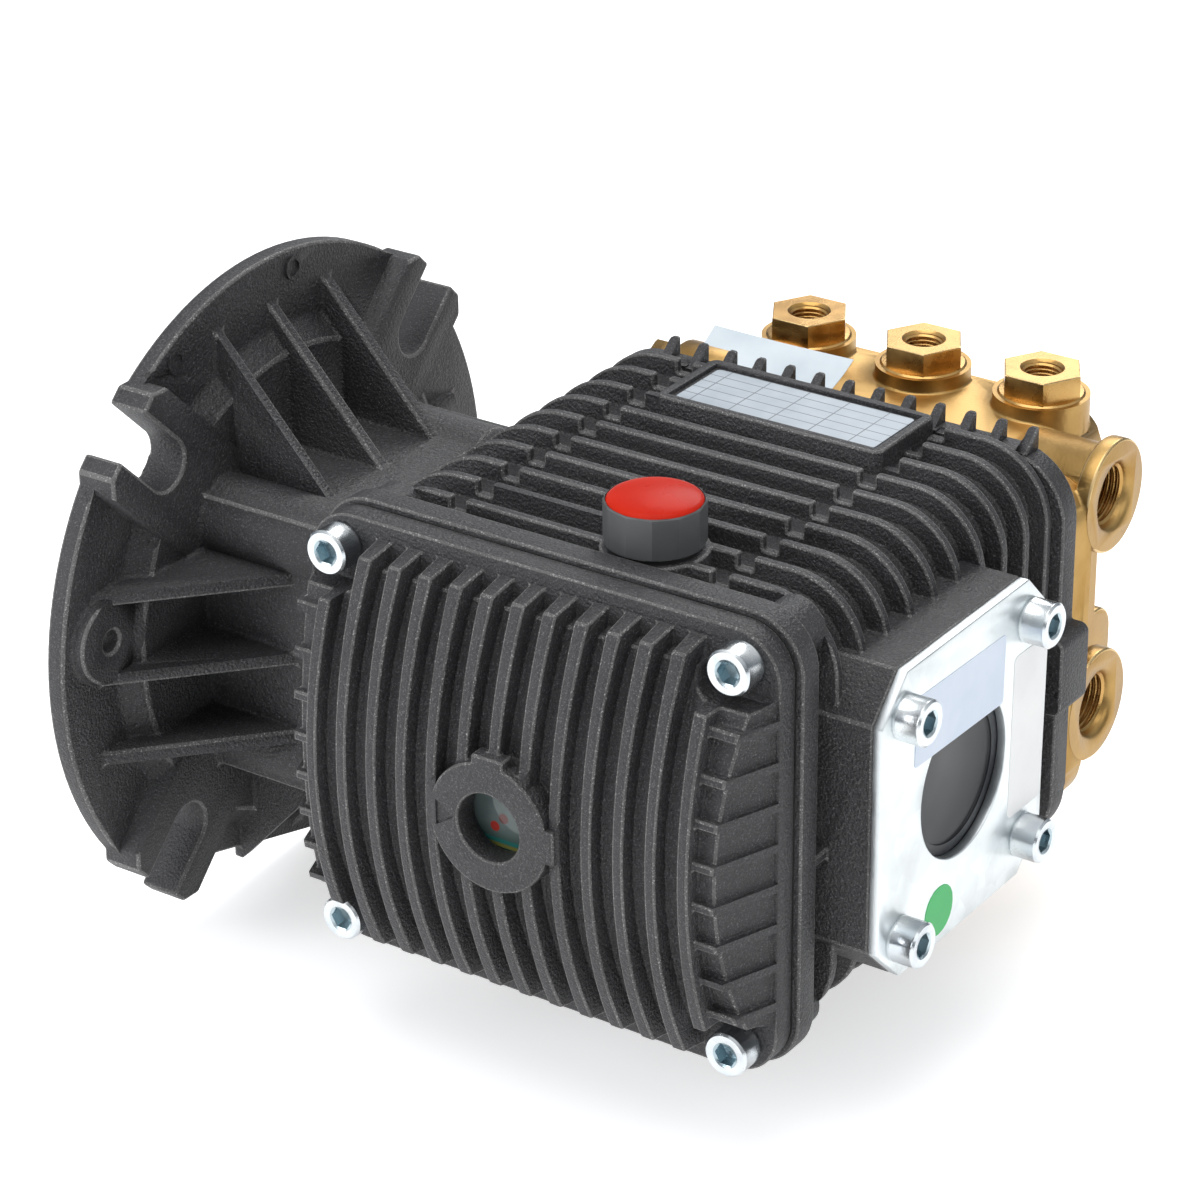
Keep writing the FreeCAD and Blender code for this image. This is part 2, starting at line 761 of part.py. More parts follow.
def cover_side_ribs():
    """Short level ribs on both side walls."""
    body = dome_solid(cover_groove / 2).common(cover_plan(-side_rib_height))
    start = (cover_rib_count - 1) / 2 * cover_rib_pitch
    ribs = []
    for side in (-1, 1):
        inner, outer = sorted((mid_x + side * start, mid_x + side * cover_half_x))
        for k in range(side_rib_count):
            z = (k - (side_rib_count - 1) / 2) * side_rib_pitch
            slab = block(inner, outer, cover_seat - cover_crest, cover_back,
                         z - side_rib_width / 2, z + side_rib_width / 2)
            ribs.append(body.common(slab))
    return ribs


def sight_tabs(face):
    half = sight_tab_width / 2
    top = block(mid_x - half, mid_x + half, face, face + sight_tab_depth, 0, sight_tab_reach)
    side = block(mid_x, mid_x + sight_tab_reach, face, face + sight_tab_depth, -half, half)
    return [top, side]


def sight_arrow(face):
    tip = mid_x - sight_hole_radius - blend
    half = sight_arrow_width / 2
    outline = [(tip, face, 0), (tip - sight_arrow_length, face, half),
               (tip - sight_arrow_length, face, -half)]
    return prism(outline, Y_AXIS * sight_arrow_depth)


def rear_cover():
    plate = rounded(block(mid_x - cover_half_x, mid_x + cover_half_x, cover_seat, cover_back,
                          -cover_half_z, cover_half_z), Y_AXIS, cover_corner)
    bulge = dome_solid(cover_groove).common(cover_plan(0))
    bulge = fused(bulge, cover_ribs() + cover_side_ribs()).cut(cover_corner_clearances(0))
    boss_face = cover_seat - sight_boss_reach
    boss = rod_y(sight_boss_radius, boss_face, cover_seat, mid_x)
    hollow = dome_solid(cover_groove + cover_wall).common(cover_plan(cover_wall))
    hollow = hollow.cut(cover_corner_clearances(cover_wall))
    tube = rod_y(sight_tube_radius, lens_front - blend, sight_tube_end, mid_x)
    cover = fused(fused(plate, [bulge, boss] + sight_tabs(boss_face)).cut(hollow), [tube])
    cuts = [rod_y(sight_hole_radius, boss_face, sight_tube_end, mid_x), sight_arrow(boss_face),
            rod_y(sight_seat_radius, lens_front, sight_tube_end, mid_x)]
    cuts += [rod_y(pass_hole_radius, cover_seat, cover_back, mid_x + x, z)
             for x, z in square_points(cover_screw_x, cover_screw_z)]
    return cover.cut(cuts)


def rear_cover_gasket():
    sheet = rounded(block(mid_x - cover_half_x, mid_x + cover_half_x, cover_back, -rear_reach,
                          -cover_half_z, cover_half_z), Y_AXIS, cover_corner)
    window = case_section(cover_corner_half_x, cover_foot_half_z - 2 * cover_wall, wall,
                          cover_back, -rear_reach)
    holes = [rod_y(pass_hole_radius, cover_back, -rear_reach, mid_x + x, z)
             for x, z in square_points(cover_screw_x, cover_screw_z)]
    return sheet.cut([window] + holes)


def rear_cover_screws():
    length = cover_flange + gasket_thickness + thread_depth - screw_end_gap
    return [cap_screw(Vector(mid_x + x, cover_seat, z), Y_AXIS, length)
            for x, z in square_points(cover_screw_x, cover_screw_z)]


def sight_glass_lens():
    return rod_y(sight_seat_radius - seat_gap, lens_front, lens_front + lens_thickness, mid_x)


def sight_glass_reflector():
    start = lens_front + lens_thickness
    end = start + reflector_gap + reflector_thickness
    cup = rod_y(sight_seat_radius - seat_gap, start, end, mid_x)
    return cup.cut(rod_y(sight_hole_radius + reflector_rim, start, start + reflector_gap, mid_x))


# Bearing side

def bearing_plate():
    plate = block(plate_seat, plate_seat + plate_thickness, -plate_half_y, plate_half_y,
                  -plate_half_z, plate_half_z)
    plate = chamfered(plate, X_AXIS, plate_chamfer)
    holes = [rod_x(pass_hole_radius, plate_seat, plate_seat + plate_thickness, y, z)
             for y, z in square_points(screw_square, screw_square)]
    return plate.cut([rod_x(plate_hole_radius, plate_seat, plate_seat + plate_thickness)] + holes)


def bearing_plate_screws():
    seat = plate_seat + plate_thickness
    return [cap_screw(Vector(seat, y, z), -X_AXIS, plate_thickness + thread_depth - screw_end_gap)
            for y, z in square_points(screw_square, screw_square)]


def bearing_end_cap():
    cap = rod_x(bearing_radius, right_bearing_end, plate_seat)
    groove_start = (right_bearing_end + plate_seat) / 2 - oring_radius
    groove = rod_x(bearing_radius, groove_start, groove_start + 2 * oring_radius)
    groove = groove.cut(rod_x(bearing_radius - 2 * oring_radius, groove_start,
                              groove_start + 2 * oring_radius))
    relief = rod_x(race_outer_radius + race_relief, right_bearing_end, right_bearing_end + race_relief)
    dish = rod_x(plate_hole_radius - end_cap_rim, plate_seat - end_cap_dish, plate_seat)
    return cap.cut([groove, relief, dish])


def end_cap_oring():
    middle = (right_bearing_end + plate_seat) / 2
    low, high = middle - oring_radius + run_gap, middle + oring_radius - run_gap
    return rod_x(bearing_radius, low, high).cut(rod_x(bearing_radius - 2 * oring_radius + run_gap, low, high))


def shaft_oil_seal():
    end = oil_seal_start + oil_seal_width
    ring = rod_x(oil_seal_radius, oil_seal_start, end).cut(rod_x(shaft_radius + run_gap, oil_seal_start, end))
    recess = rod_x(oil_seal_radius - oil_seal_rim, end - oil_seal_dish, end)
    recess = recess.cut(rod_x(shaft_radius + oil_seal_rim, end - oil_seal_dish, end))
    return ring.cut(recess)


def bearing_starts():
    return (left_bearing_start, right_bearing_end - bearing_width)


def ball_track(start):
    pitch_radius = (race_inner_radius + race_outer_radius) / 2
    middle = Vector(start + bearing_width / 2, 0, 0)
    return Part.makeTorus(pitch_radius, ball_radius + run_gap, middle, X_AXIS)


def bearing_outer_rings():
    rings = []
    for start in bearing_starts():
        ring = rod_x(bearing_radius, start, start + bearing_width)
        ring = ring.cut([rod_x(race_outer_radius, start, start + bearing_width), ball_track(start)])
        rings.append(ring)
    return rings


def bearing_inner_rings():
    rings = []
    for start in bearing_starts():
        ring = rod_x(race_inner_radius, start, start + bearing_width)
        bore = rod_x(shaft_radius + run_gap, start, start + bearing_width)
        rings.append(ring.cut([bore, ball_track(start)]))
    return rings


def ball_places(start):
    pitch_radius = (race_inner_radius + race_outer_radius) / 2
    middle = start + bearing_width / 2
    turns = [2 * math.pi * k / ball_count for k in range(ball_count)]
    return [Vector(middle, pitch_radius * math.cos(t), pitch_radius * math.sin(t)) for t in turns]


def bearing_balls():
    return [Part.makeSphere(ball_radius, place) for start in bearing_starts() for place in ball_places(start)]


def bearing_cages():
    pitch_radius = (race_inner_radius + race_outer_radius) / 2
    cages = []
    for start in bearing_starts():
        low = start + bearing_width / 2 - cage_half_width
        high = low + 2 * cage_half_width
        ring = rod_x(pitch_radius + cage_radial, low, high).cut(rod_x(pitch_radius - cage_radial, low, high))
        middle = Vector(start + bearing_width / 2, 0, 0)
        pockets = [Part.makeCylinder(ball_radius + run_gap, race_outer_radius, middle, place - middle)
                   for place in ball_places(start)]
        cages.append(ring.cut(pockets))
    return cages


# Crank train

def crankshaft():
    half = eccentric_width / 2
    first, last = cylinder_x[0], cylinder_x[-1]
    left_shoulder = left_bearing_start + bearing_width
    right_shoulder = right_bearing_end - bearing_width
    shaft = rod_x(shaft_radius, shaft_start, left_shoulder)
    cheeks = [rod_x(web_radius + web_collar, left_shoulder, first - half),
              rod_x(web_radius, first, last),
              rod_x(web_radius + web_collar, last + half, right_shoulder),
              rod_x(shaft_radius, right_shoulder, right_bearing_end - shaft_end_in)]
    eccentrics = [rod_x(eccentric_radius, x - half, x + half, y, z)
                  for x, y, z in zip(cylinder_x, crank_y, crank_z)]
    key = block(shaft_start, shaft_bore_end - shaft_bore_radius, -key_width / 2, key_width / 2, 0, key_reach)
    return fused(shaft, cheeks + eccentrics).cut([rod_x(shaft_bore_radius, shaft_start, shaft_bore_end), key])


def rod_ears(i, y_low, y_high):
    y, z = crank_y[i], crank_z[i]
    half = rod_ear_half
    return block(cylinder_x[i] - half, cylinder_x[i] + half, y + y_low, y + y_high,
                 z - rod_ear_reach, z + rod_ear_reach)


def rod_screw_holes(i, radius, y_low, y_high):
    y, z = crank_y[i], crank_z[i]
    return [rod_y(radius, y + y_low, y + y_high, cylinder_x[i], z + side * rod_screw_offset)
            for side in (-1, 1)]


def big_end(i):
    x, y, z = cylinder_x[i], crank_y[i], crank_z[i]
    half = rod_big_width / 2
    return rod_x(rod_big_radius, x - half, x + half, y, z)


def big_end_bore(i):
    x, y, z = cylinder_x[i], crank_y[i], crank_z[i]
    half = rod_big_width / 2
    return rod_x(eccentric_radius + run_gap, x - half, x + half, y, z)


def half_space(i, side):
    """A block that covers the head side (1) or the cover side (-1) of one rod's joint plane."""
    x, y, z = cylinder_x[i], crank_y[i], crank_z[i]
    reach = rod_length + rod_big_radius
    low, high = sorted((y, y + side * reach))
    return block(x - reach, x + reach, low, high, z - reach, z + reach)


def small_end(i):
    """An oval eye: its slot leaves room around the wrist pin."""
    x, y, z = cylinder_x[i], crank_y[i] + rod_length, crank_z[i]
    half = rod_small_width / 2
    reach_y = rod_slot_half_y + rod_small_wall
    reach_z = rod_slot_half_z + rod_small_wall
    eye = rounded(block(x - half, x + half, y - reach_y, y + reach_y, z - reach_z, z + reach_z),
                  X_AXIS, reach_z - round_short)
    slot = rounded(block(x - half, x + half, y - rod_slot_half_y, y + rod_slot_half_y,
                         z - rod_slot_half_z, z + rod_slot_half_z), X_AXIS, rod_slot_half_z - round_short)
    return eye, slot


def conrod(i):
    eye, slot = small_end(i)
    x, y, z = cylinder_x[i], crank_y[i], crank_z[i]
    half = rod_small_width / 2 - eye_face_in
    beam_end = y + rod_length - rod_slot_half_y - blend
    beam = block(x - half, x + half, y, beam_end, z - rod_slot_half_z, z + rod_slot_half_z)
    ears = rod_ears(i, 0, rod_ear_half)
    rod = fused(big_end(i).common(half_space(i, 1)), [ears, beam, eye])
    threads = rod_screw_holes(i, rod_screw_radius + thread_gap, 0, rod_ear_half)
    return rod.cut([big_end_bore(i), slot] + threads)


def conrod_cap(i):
    """The rod's cap with its two screws."""
    ears = rod_ears(i, -rod_ear_half, 0)
    cap = fused(big_end(i).common(half_space(i, -1)), [ears]).cut([big_end_bore(i)])
    cap = cap.cut(rod_screw_holes(i, rod_screw_radius + thread_gap, -rod_big_radius, 0))
    seats = rod_screw_holes(i, rod_screw_head_radius + rod_seat_gap, -rod_big_radius, -rod_ear_half)
    shanks = rod_screw_holes(i, rod_screw_radius, -rod_ear_half, rod_ear_half - rod_screw_short)
    heads = rod_screw_holes(i, rod_screw_head_radius, -rod_ear_half - rod_screw_head_height, -rod_ear_half)
    screws = [shank.fuse(head).removeSplitter() for shank, head in zip(shanks, heads)]
    return [cap.cut(seats)] + screws


def crosshead(i):
    x, y = cylinder_x[i], crank_y[i] + rod_length
    body = rod_y(crosshead_radius, y - crosshead_tail, y + crosshead_nose, x)
    stem = rod_y(plunger_radius, y + crosshead_nose, y + stem_end, x)
    pocket = block(x - crosshead_pocket_half, x + crosshead_pocket_half, y - crosshead_tail,
                   y + crosshead_nose - crosshead_web, crosshead_wall - crosshead_radius, crosshead_radius - crosshead_wall)
    pin_bore = rod_x(wrist_pin_radius + run_gap, x - crosshead_radius, x + crosshead_radius, y)
    bolt_bore = rod_y(plunger_bolt_radius + thread_gap, y + stem_end - thread_depth, y + stem_end, x)
    return fused(body, [stem]).cut([pocket, pin_bore, bolt_bore])


def wrist_pin(i):
    x, y = cylinder_x[i], crank_y[i] + rod_length
    half = math.sqrt(crosshead_radius ** 2 - wrist_pin_radius ** 2) - pin_end_in
    return rod_x(wrist_pin_radius, x - half, x + half, y)


def ceramic_plunger(i):
    """The ceramic sleeve with the bolt that clamps it to the crosshead's stem."""
    x, start = cylinder_x[i], crank_y[i] + rod_length + stem_end
    end = start + ceramic_length
    sleeve = rod_y(plunger_radius, start, end, x).cut(rod_y(plunger_bolt_radius + thread_gap, start, end, x))
    shank = rod_y(plunger_bolt_radius, start - thread_depth + screw_end_gap, end, x)
    head = rod_y(plunger_bolt_head_radius, end, end + plunger_bolt_head_height, x)
    socket = hex_bar(socket_flats, Vector(x, end + plunger_bolt_head_height, 0), -Y_AXIS,
                     plunger_bolt_head_height - socket_floor)
    return [sleeve, shank.fuse(head).removeSplitter().cut(socket)]


def ring_y(outer, inner, y0, y1, x):
    return rod_y(outer, y0, y1, x).cut(rod_y(inner, y0, y1, x))


def stem_rings(outer, start, end):
    return [ring_y(outer, plunger_radius + run_gap, start, end, x) for x in cylinder_x]


def crosshead_oil_seals():
    return stem_rings(stem_seal_radius, front_reach - stem_seal_width, front_reach)


def low_pressure_seals():
    return stem_rings(packing_radius, packing_start, packing_start + low_seal_width)


def packing_rings():
    start = packing_start + low_seal_width
    return stem_rings(packing_radius, start, start + packing_ring_width)


def high_pressure_packings():
    return stem_rings(packing_radius, packing_end - high_packing_width, packing_end)


# Brass head

def port_body(y, z):
    """Neck and collar of a side port, with the same neck at the far end for its plug."""
    face = mid_x + port_face
    collar = rod_x(port_collar_radius, face - port_collar_width, face, y, z)
    neck = rod_x(port_neck_radius, mid_x + head_half - port_neck_inside, face - blend, y, z)
    far_neck = rod_x(port_neck_radius, mid_x - plug_face + plug_washer_thickness,
                     mid_x - head_half + port_neck_inside, y, z)
    return [collar, neck, far_neck]


def port_cuts(y, z):
    face = mid_x + port_face
    far = mid_x - plug_face + plug_washer_thickness
    chamfer = Part.makeCone(port_thread_radius, port_thread_radius + port_chamfer, port_chamfer,
                            Vector(face - port_chamfer, y, z), X_AXIS)
    return [rod_x(gallery_radius, far, face, y, z), chamfer,
            rod_x(port_thread_radius, face - port_thread_depth, face, y, z),
            rod_x(port_thread_radius, far, far + port_thread_depth, y, z)]


def valve_cuts(x):
    """Everything bored around one cylinder's axis."""
    link_out = chamber_half + seat_height + valve_cage_height + link_radius / 2
    link_in = chamber_half + seat_height + valve_cage_height + cap_nose_length / 2 + link_offset
    return [rod_z(chamber_radius, -chamber_half, chamber_half, x, valve_y),
            rod_z(valve_bore_radius, chamber_half, boss_top, x, valve_y),
            rod_z(valve_bore_radius, -boss_bottom, -chamber_half, x, valve_y),
            rod_z(cap_collar_radius + cap_gap, boss_top - cap_recess, boss_top, x, valve_y),
            rod_y(pump_bore_radius, packing_end, valve_y, x),
            rod_y(packing_radius + seat_gap, packing_start, packing_end, x),
            rod_y(weep_radius, front_reach, packing_start, x),
            rod_y(link_radius, discharge_y, valve_y, x, link_out),
            rod_y(link_radius, inlet_y, valve_y, x, -link_in)]


def manifold():
    left, right = mid_x - head_half, mid_x + head_half
    flange = rounded(block(mid_x - head_flange_half, mid_x + head_flange_half, front_reach,
                           front_reach + head_flange_depth, -head_flange_bottom, head_top), Y_AXIS, head_corner)
    start = front_reach + head_flange_depth - blend
    body = rounded(block(left, right, start, head_front, -head_bottom, head_top), Y_AXIS, head_corner)
    lip = block(left, right, valve_y, head_front + head_lip, -head_bottom, head_lip_top)
    lip = rounded(lip, X_AXIS, lip_corner)
    bosses = [rod_z(boss_radius, -boss_bottom, boss_top, x, valve_y) for x in cylinder_x]
    ports = port_body(discharge_y, discharge_z) + port_body(inlet_y, inlet_z)
    head = fused(flange, [body, lip] + bosses + ports)
    cuts = port_cuts(discharge_y, discharge_z) + port_cuts(inlet_y, inlet_z)
    for x in cylinder_x:
        cuts += valve_cuts(x)
    cuts += [rod_y(pass_hole_radius, front_reach, head_front + head_lip, x, z)
             for x, z in head_screw_places()]
    plug_corner = plug_flats / math.sqrt(3) + plug_seat_gap
    plug_end = mid_x - plug_face + plug_washer_thickness
    cuts += [rod_x(plug_corner, mid_x - head_flange_half, plug_end, y, z)
             for y, z in gallery_ends()]
    return head.cut(cuts)


def manifold_screws():
    """Each screw's head seats where its hole leaves the head."""
    screws = []
    for x, z in head_screw_places():
        seat = front_reach + head_flange_depth
        if abs(x - mid_x) < head_half:
            seat = head_front if z > head_lip_top else head_front + head_lip
        length = seat - front_reach + head_thread_depth - screw_end_gap
        screws.append(cap_screw(Vector(x, seat, z), -Y_AXIS, length))
    return screws


def gallery_ends():
    return ((discharge_y, discharge_z), (inlet_y, inlet_z))


def gallery_plugs():
    face = mid_x - plug_face
    plugs = []
    for y, z in gallery_ends():
        head = nut_hex(plug_flats, Vector(face, y, z), -X_AXIS, plug_head_height)
        stem = rod_x(port_thread_radius - thread_gap, face, face + port_thread_depth - plug_stem_short, y, z)
        plugs.append(fused(head, [stem]))
    return plugs


def gallery_plug_washers():
    face = mid_x - plug_face
    washers = []
    for y, z in gallery_ends():
        ring = rod_x(port_thread_radius + plug_washer_width, face, face + plug_washer_thickness, y, z)
        washers.append(ring.cut(rod_x(port_thread_radius, face, face + plug_washer_thickness, y, z)))
    return washers


# Valves: the upper three let water out, the lower three let it in, and all six lift upwards.

def valve_bases():
    """Lower face of each valve's seat, outlets first."""
    outlet = chamber_half
    inlet = -chamber_half - valve_cage_height - seat_height
    return [(x, outlet) for x in cylinder_x] + [(x, inlet) for x in cylinder_x]


def valve_seats():
    outer = valve_bore_radius - seat_gap
    return [rod_z(outer, z, z + seat_height, x, valve_y)
            .cut(rod_z(seat_bore_radius, z, z + seat_height, x, valve_y))
            for x, z in valve_bases()]


def valve_cages():
    outer = valve_bore_radius - seat_gap
    cages = []
    for x, base in valve_bases():
        low, high = base + seat_height, base + seat_height + valve_cage_height
        cage = rod_z(outer, low, high, x, valve_y)
        cage = cage.cut(rod_z(outer - valve_cage_wall, low, high - valve_cage_spider, x, valve_y))
        top = high - valve_cage_spider
        half = valve_window / 2
        sill = low + cage_sill
        windows = [block(x - half, x + half, valve_y - outer, valve_y + outer, sill, top),
                   block(x - outer, x + outer, valve_y - half, valve_y + half, sill, top)]
        flow = rod_z(poppet_radius, top, high, x, valve_y)
        flow = flow.cut(rod_z(spring_radius + spring_land, top, high, x, valve_y))
        bars = [block(x - outer, x + outer, valve_y - valve_bar / 2, valve_y + valve_bar / 2, top, high),
                block(x - valve_bar / 2, x + valve_bar / 2, valve_y - outer, valve_y + outer, top, high)]
        cages.append(cage.cut([flow.cut(bars)] + windows))
    return cages


def valve_poppet(x, base):
    low = base + seat_height
    disc = rod_z(poppet_radius, low, low + poppet_thickness, x, valve_y)
    stem = rod_z(poppet_stem_radius, low, low + poppet_thickness + poppet_stem_length, x, valve_y)
    return fused(disc, [stem])


def valve_spring(x, base):
    low = base + seat_height + poppet_thickness + spring_wire_radius + spring_end_gap
    high = base + seat_height + valve_cage_height - valve_cage_spider - spring_wire_radius - spring_end_gap
    height = high - low
    helix = Part.makeHelix(height / spring_turns, height, spring_radius)
    half = spring_wire_radius
    corners = [Vector(spring_radius + dx, 0, dz)
               for dx, dz in ((-half, -half), (half, -half), (half, half), (-half, half))]
    wire = Part.makePolygon(corners + corners[:1])
    spring = Part.Wire(helix).makePipeShell([wire], True, True)
    spring.translate(Vector(x, valve_y, low))
    return spring


def cap_stem_oring(x, shoulder, inward):
    middle = shoulder + inward * oring_depth
    low, high = middle - oring_radius, middle + oring_radius
    inner = valve_bore_radius - 2 * oring_radius
    return rod_z(valve_bore_radius - run_gap, low, high, x, valve_y).cut(rod_z(inner, low, high, x, valve_y))


def cap_blank(x, shoulder, outward, nose_start):
    """Stem, collar and hexagon of a valve cap; outward is 1 above the head and -1 below it."""
    stem_radius = valve_bore_radius - thread_gap
    low, high = sorted((nose_start, shoulder))
    stem = rod_z(stem_radius, low, high, x, valve_y)
    low, high = sorted((shoulder, shoulder + outward * cap_collar_height))
    collar = rod_z(cap_collar_radius, low, high, x, valve_y)
    height = cap_collar_height + cap_hex_height
    hexagon = nut_hex(cap_flats, Vector(x, valve_y, shoulder), Z_AXIS * outward, height)
    groove_low = shoulder - outward * oring_depth - oring_radius - run_gap
    groove = rod_z(valve_bore_radius, groove_low, groove_low + 2 * (oring_radius + run_gap), x, valve_y)
    groove = groove.cut(rod_z(valve_bore_radius - 2 * (oring_radius + run_gap), groove_low,
                              groove_low + 2 * (oring_radius + run_gap), x, valve_y))
    return fused(stem, [collar, hexagon]).cut(groove)


def outlet_cap_shoulder():
    return boss_top - cap_recess


def outlet_valve_caps():
    caps = []
    cage_top = chamber_half + seat_height + valve_cage_height
    for x in cylinder_x:
        shoulder = outlet_cap_shoulder()
        cap = cap_blank(x, shoulder, 1, cage_top + cap_nose_length)
        nose = rod_z(cap_nose_radius, cage_top, cage_top + cap_nose_length, x, valve_y)
        top = shoulder + cap_collar_height + cap_hex_height
        mouth = Part.makeCone(cap_thread_radius, cap_thread_radius + cap_mouth_chamfer, cap_mouth_chamfer,
                              Vector(x, valve_y, top - cap_mouth_chamfer), Z_AXIS)
        thread = rod_z(cap_thread_radius, top - cap_thread_depth, top, x, valve_y)
        caps.append(fused(cap, [nose]).cut([thread, mouth]))
    return caps


def inlet_valve_caps():
    caps = []
    nose_top = -(chamber_half + seat_height + valve_cage_height)
    nose_low = nose_top - cap_nose_length - cap_nose_more
    for x in cylinder_x:
        cap = cap_blank(x, -boss_bottom, -1, nose_low)
        nose = rod_z(valve_bore_radius - thread_gap, nose_low, nose_top, x, valve_y)
        hollow = rod_z(cap_nose_radius, nose_low, nose_top, x, valve_y)
        window = rod_y(link_radius - link_land, valve_y - valve_bore_radius, valve_y + valve_bore_radius, x,
                       (nose_low + nose_top) / 2)
        caps.append(fused(cap, [nose.cut([hollow, window])]))
    return caps


def cap_orings():
    upper = [cap_stem_oring(x, outlet_cap_shoulder(), -1) for x in cylinder_x]
    lower = [cap_stem_oring(x, -boss_bottom, 1) for x in cylinder_x]
    return upper + lower


# Filler and drain

def filler_gasket():
    x = mid_x + filler_x
    low = case_height
    ring = rod_z(filler_boss_radius - filler_gasket_in, low, low + filler_gasket_height, x, filler_y)
    return ring.cut(rod_z(filler_thread_radius + run_gap, low, low + filler_gasket_height, x, filler_y))


def filler_cap():
    x = mid_x + filler_x
    low = case_height + filler_gasket_height
    turn = [2 * math.pi * k / filler_facets for k in range(filler_facets)]
    ring = [(x + filler_cap_radius * math.cos(t), filler_y + filler_cap_radius * math.sin(t), low)
            for t in turn]
    body = prism(ring, Z_AXIS * filler_cap_height)
    stem = rod_z(filler_thread_radius, low - filler_thread_length, low, x, filler_y)
    bore = rod_z(filler_thread_radius - filler_wall, low - filler_thread_length, low + filler_bore_rise, x, filler_y)
    top = low + filler_cap_height
    seat = rod_z(filler_disc_radius, top - filler_disc_depth, top, x, filler_y)
    return fused(body, [stem]).cut([bore, seat])


def filler_cap_disc():
    """A slightly domed disc set into the cap's top."""
    x = mid_x + filler_x
    low = case_height + filler_gasket_height + filler_cap_height - filler_disc_depth
    radius = filler_disc_radius - seat_gap
    edge = 1.5
    rise = filler_disc_rise
    start = Vector(x, filler_y, low)
    points = [start, start + Vector(radius, 0, 0), start + Vector(radius, 0, edge),
              start + Vector(0, 0, edge + rise)]
    ball = (radius ** 2 + rise ** 2) / (2 * rise)
    angle = math.asin(radius / ball) / 2
    middle = start + Vector(ball * math.sin(angle), 0, edge + rise - ball * (1 - math.cos(angle)))
    dome = Part.Arc(points[2], middle, points[3]).toShape()
    wire = Part.Wire([Part.makeLine(points[0], points[1]), Part.makeLine(points[1], points[2]), dome,
                      Part.makeLine(points[3], points[0])])
    return Part.Face(wire).revolve(start, Z_AXIS, 360)


def drain_washer():
    low = -case_height - drain_washer_height
    ring = rod_z(drain_boss_radius - drain_washer_in, low, -case_height, mid_x, drain_y)
    return ring.cut(rod_z(drain_thread_radius + thread_gap, low, -case_height, mid_x, drain_y))


def drain_plug():
    seat = -case_height - drain_washer_height
    head = nut_hex(drain_flats, Vector(mid_x, drain_y, seat), -Z_AXIS, drain_head_height)
    stem = rod_z(drain_thread_radius, seat, seat + filler_thread_length, mid_x, drain_y)
    return fused(head, [stem])


def nodes():
    """Every sub-part by its node name."""
    found = {
        "engine_flange": engine_flange(), "flange_screws": flange_screws(), "crankcase": crankcase(),
        "rear_cover": rear_cover(), "rear_cover_gasket": rear_cover_gasket(),
        "rear_cover_screws": rear_cover_screws(), "sight_glass_lens": sight_glass_lens(),
        "sight_glass_reflector": sight_glass_reflector(),
        "bearing_plate": bearing_plate(), "bearing_plate_screws": bearing_plate_screws(),
        "bearing_end_cap": bearing_end_cap(),
        "shaft_oil_seal": shaft_oil_seal(), "bearing_outer_rings": bearing_outer_rings(),
        "bearing_inner_rings": bearing_inner_rings(), "bearing_balls": bearing_balls() + bearing_cages(),
        "crankshaft": crankshaft(), "crosshead_oil_seals": crosshead_oil_seals(),
        "low_pressure_seals": low_pressure_seals(), "packing_rings": packing_rings(),
        "high_pressure_packings": high_pressure_packings(), "manifold": manifold(),
        "manifold_screws": manifold_screws(), "gallery_plugs": gallery_plugs(),
        "plug_washers": gallery_plug_washers() + [drain_washer()], "valve_seats": valve_seats(),
        "valve_cages": valve_cages(), "outlet_valve_caps": outlet_valve_caps(),
        "inlet_valve_caps": inlet_valve_caps(), "o_rings": cap_orings() + [end_cap_oring()],
        "filler_gasket": filler_gasket(),
        "filler_cap": filler_cap(), "filler_cap_disc": filler_cap_disc(),
        "drain_plug": drain_plug(),
    }
    for i in range(CYLINDERS):
        found[f"conrod_{i + 1}"] = conrod(i)
        found[f"conrod_cap_{i + 1}"] = conrod_cap(i)
        found[f"crosshead_{i + 1}"] = crosshead(i)
        found[f"wrist_pin_{i + 1}"] = wrist_pin(i)
        found[f"ceramic_plunger_{i + 1}"] = ceramic_plunger(i)
    for k, (x, base) in enumerate(valve_bases()):
        side = "outlet" if k < CYLINDERS else "inlet"
        number = k % CYLINDERS + 1
        found[f"{side}_valve_{number}"] = valve_poppet(x, base)
        found[f"{side}_spring_{number}"] = valve_spring(x, base)
    return found


os.makedirs("parts", exist_ok=True)
for name, shape in nodes().items():
    if isinstance(shape, list):
        shape = Part.makeCompound(shape)
    shape.exportStep(f"parts/{name}.step")
    print(name, len(shape.Solids), round(shape.Volume))
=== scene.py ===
import json
import math

import bmesh
import bpy
from mathutils import Matrix, Vector
from mathutils.bvhtree import BVHTree
from mathutils.geometry import intersect_line_line_2d, intersect_point_line
from mathutils.kdtree import KDTree

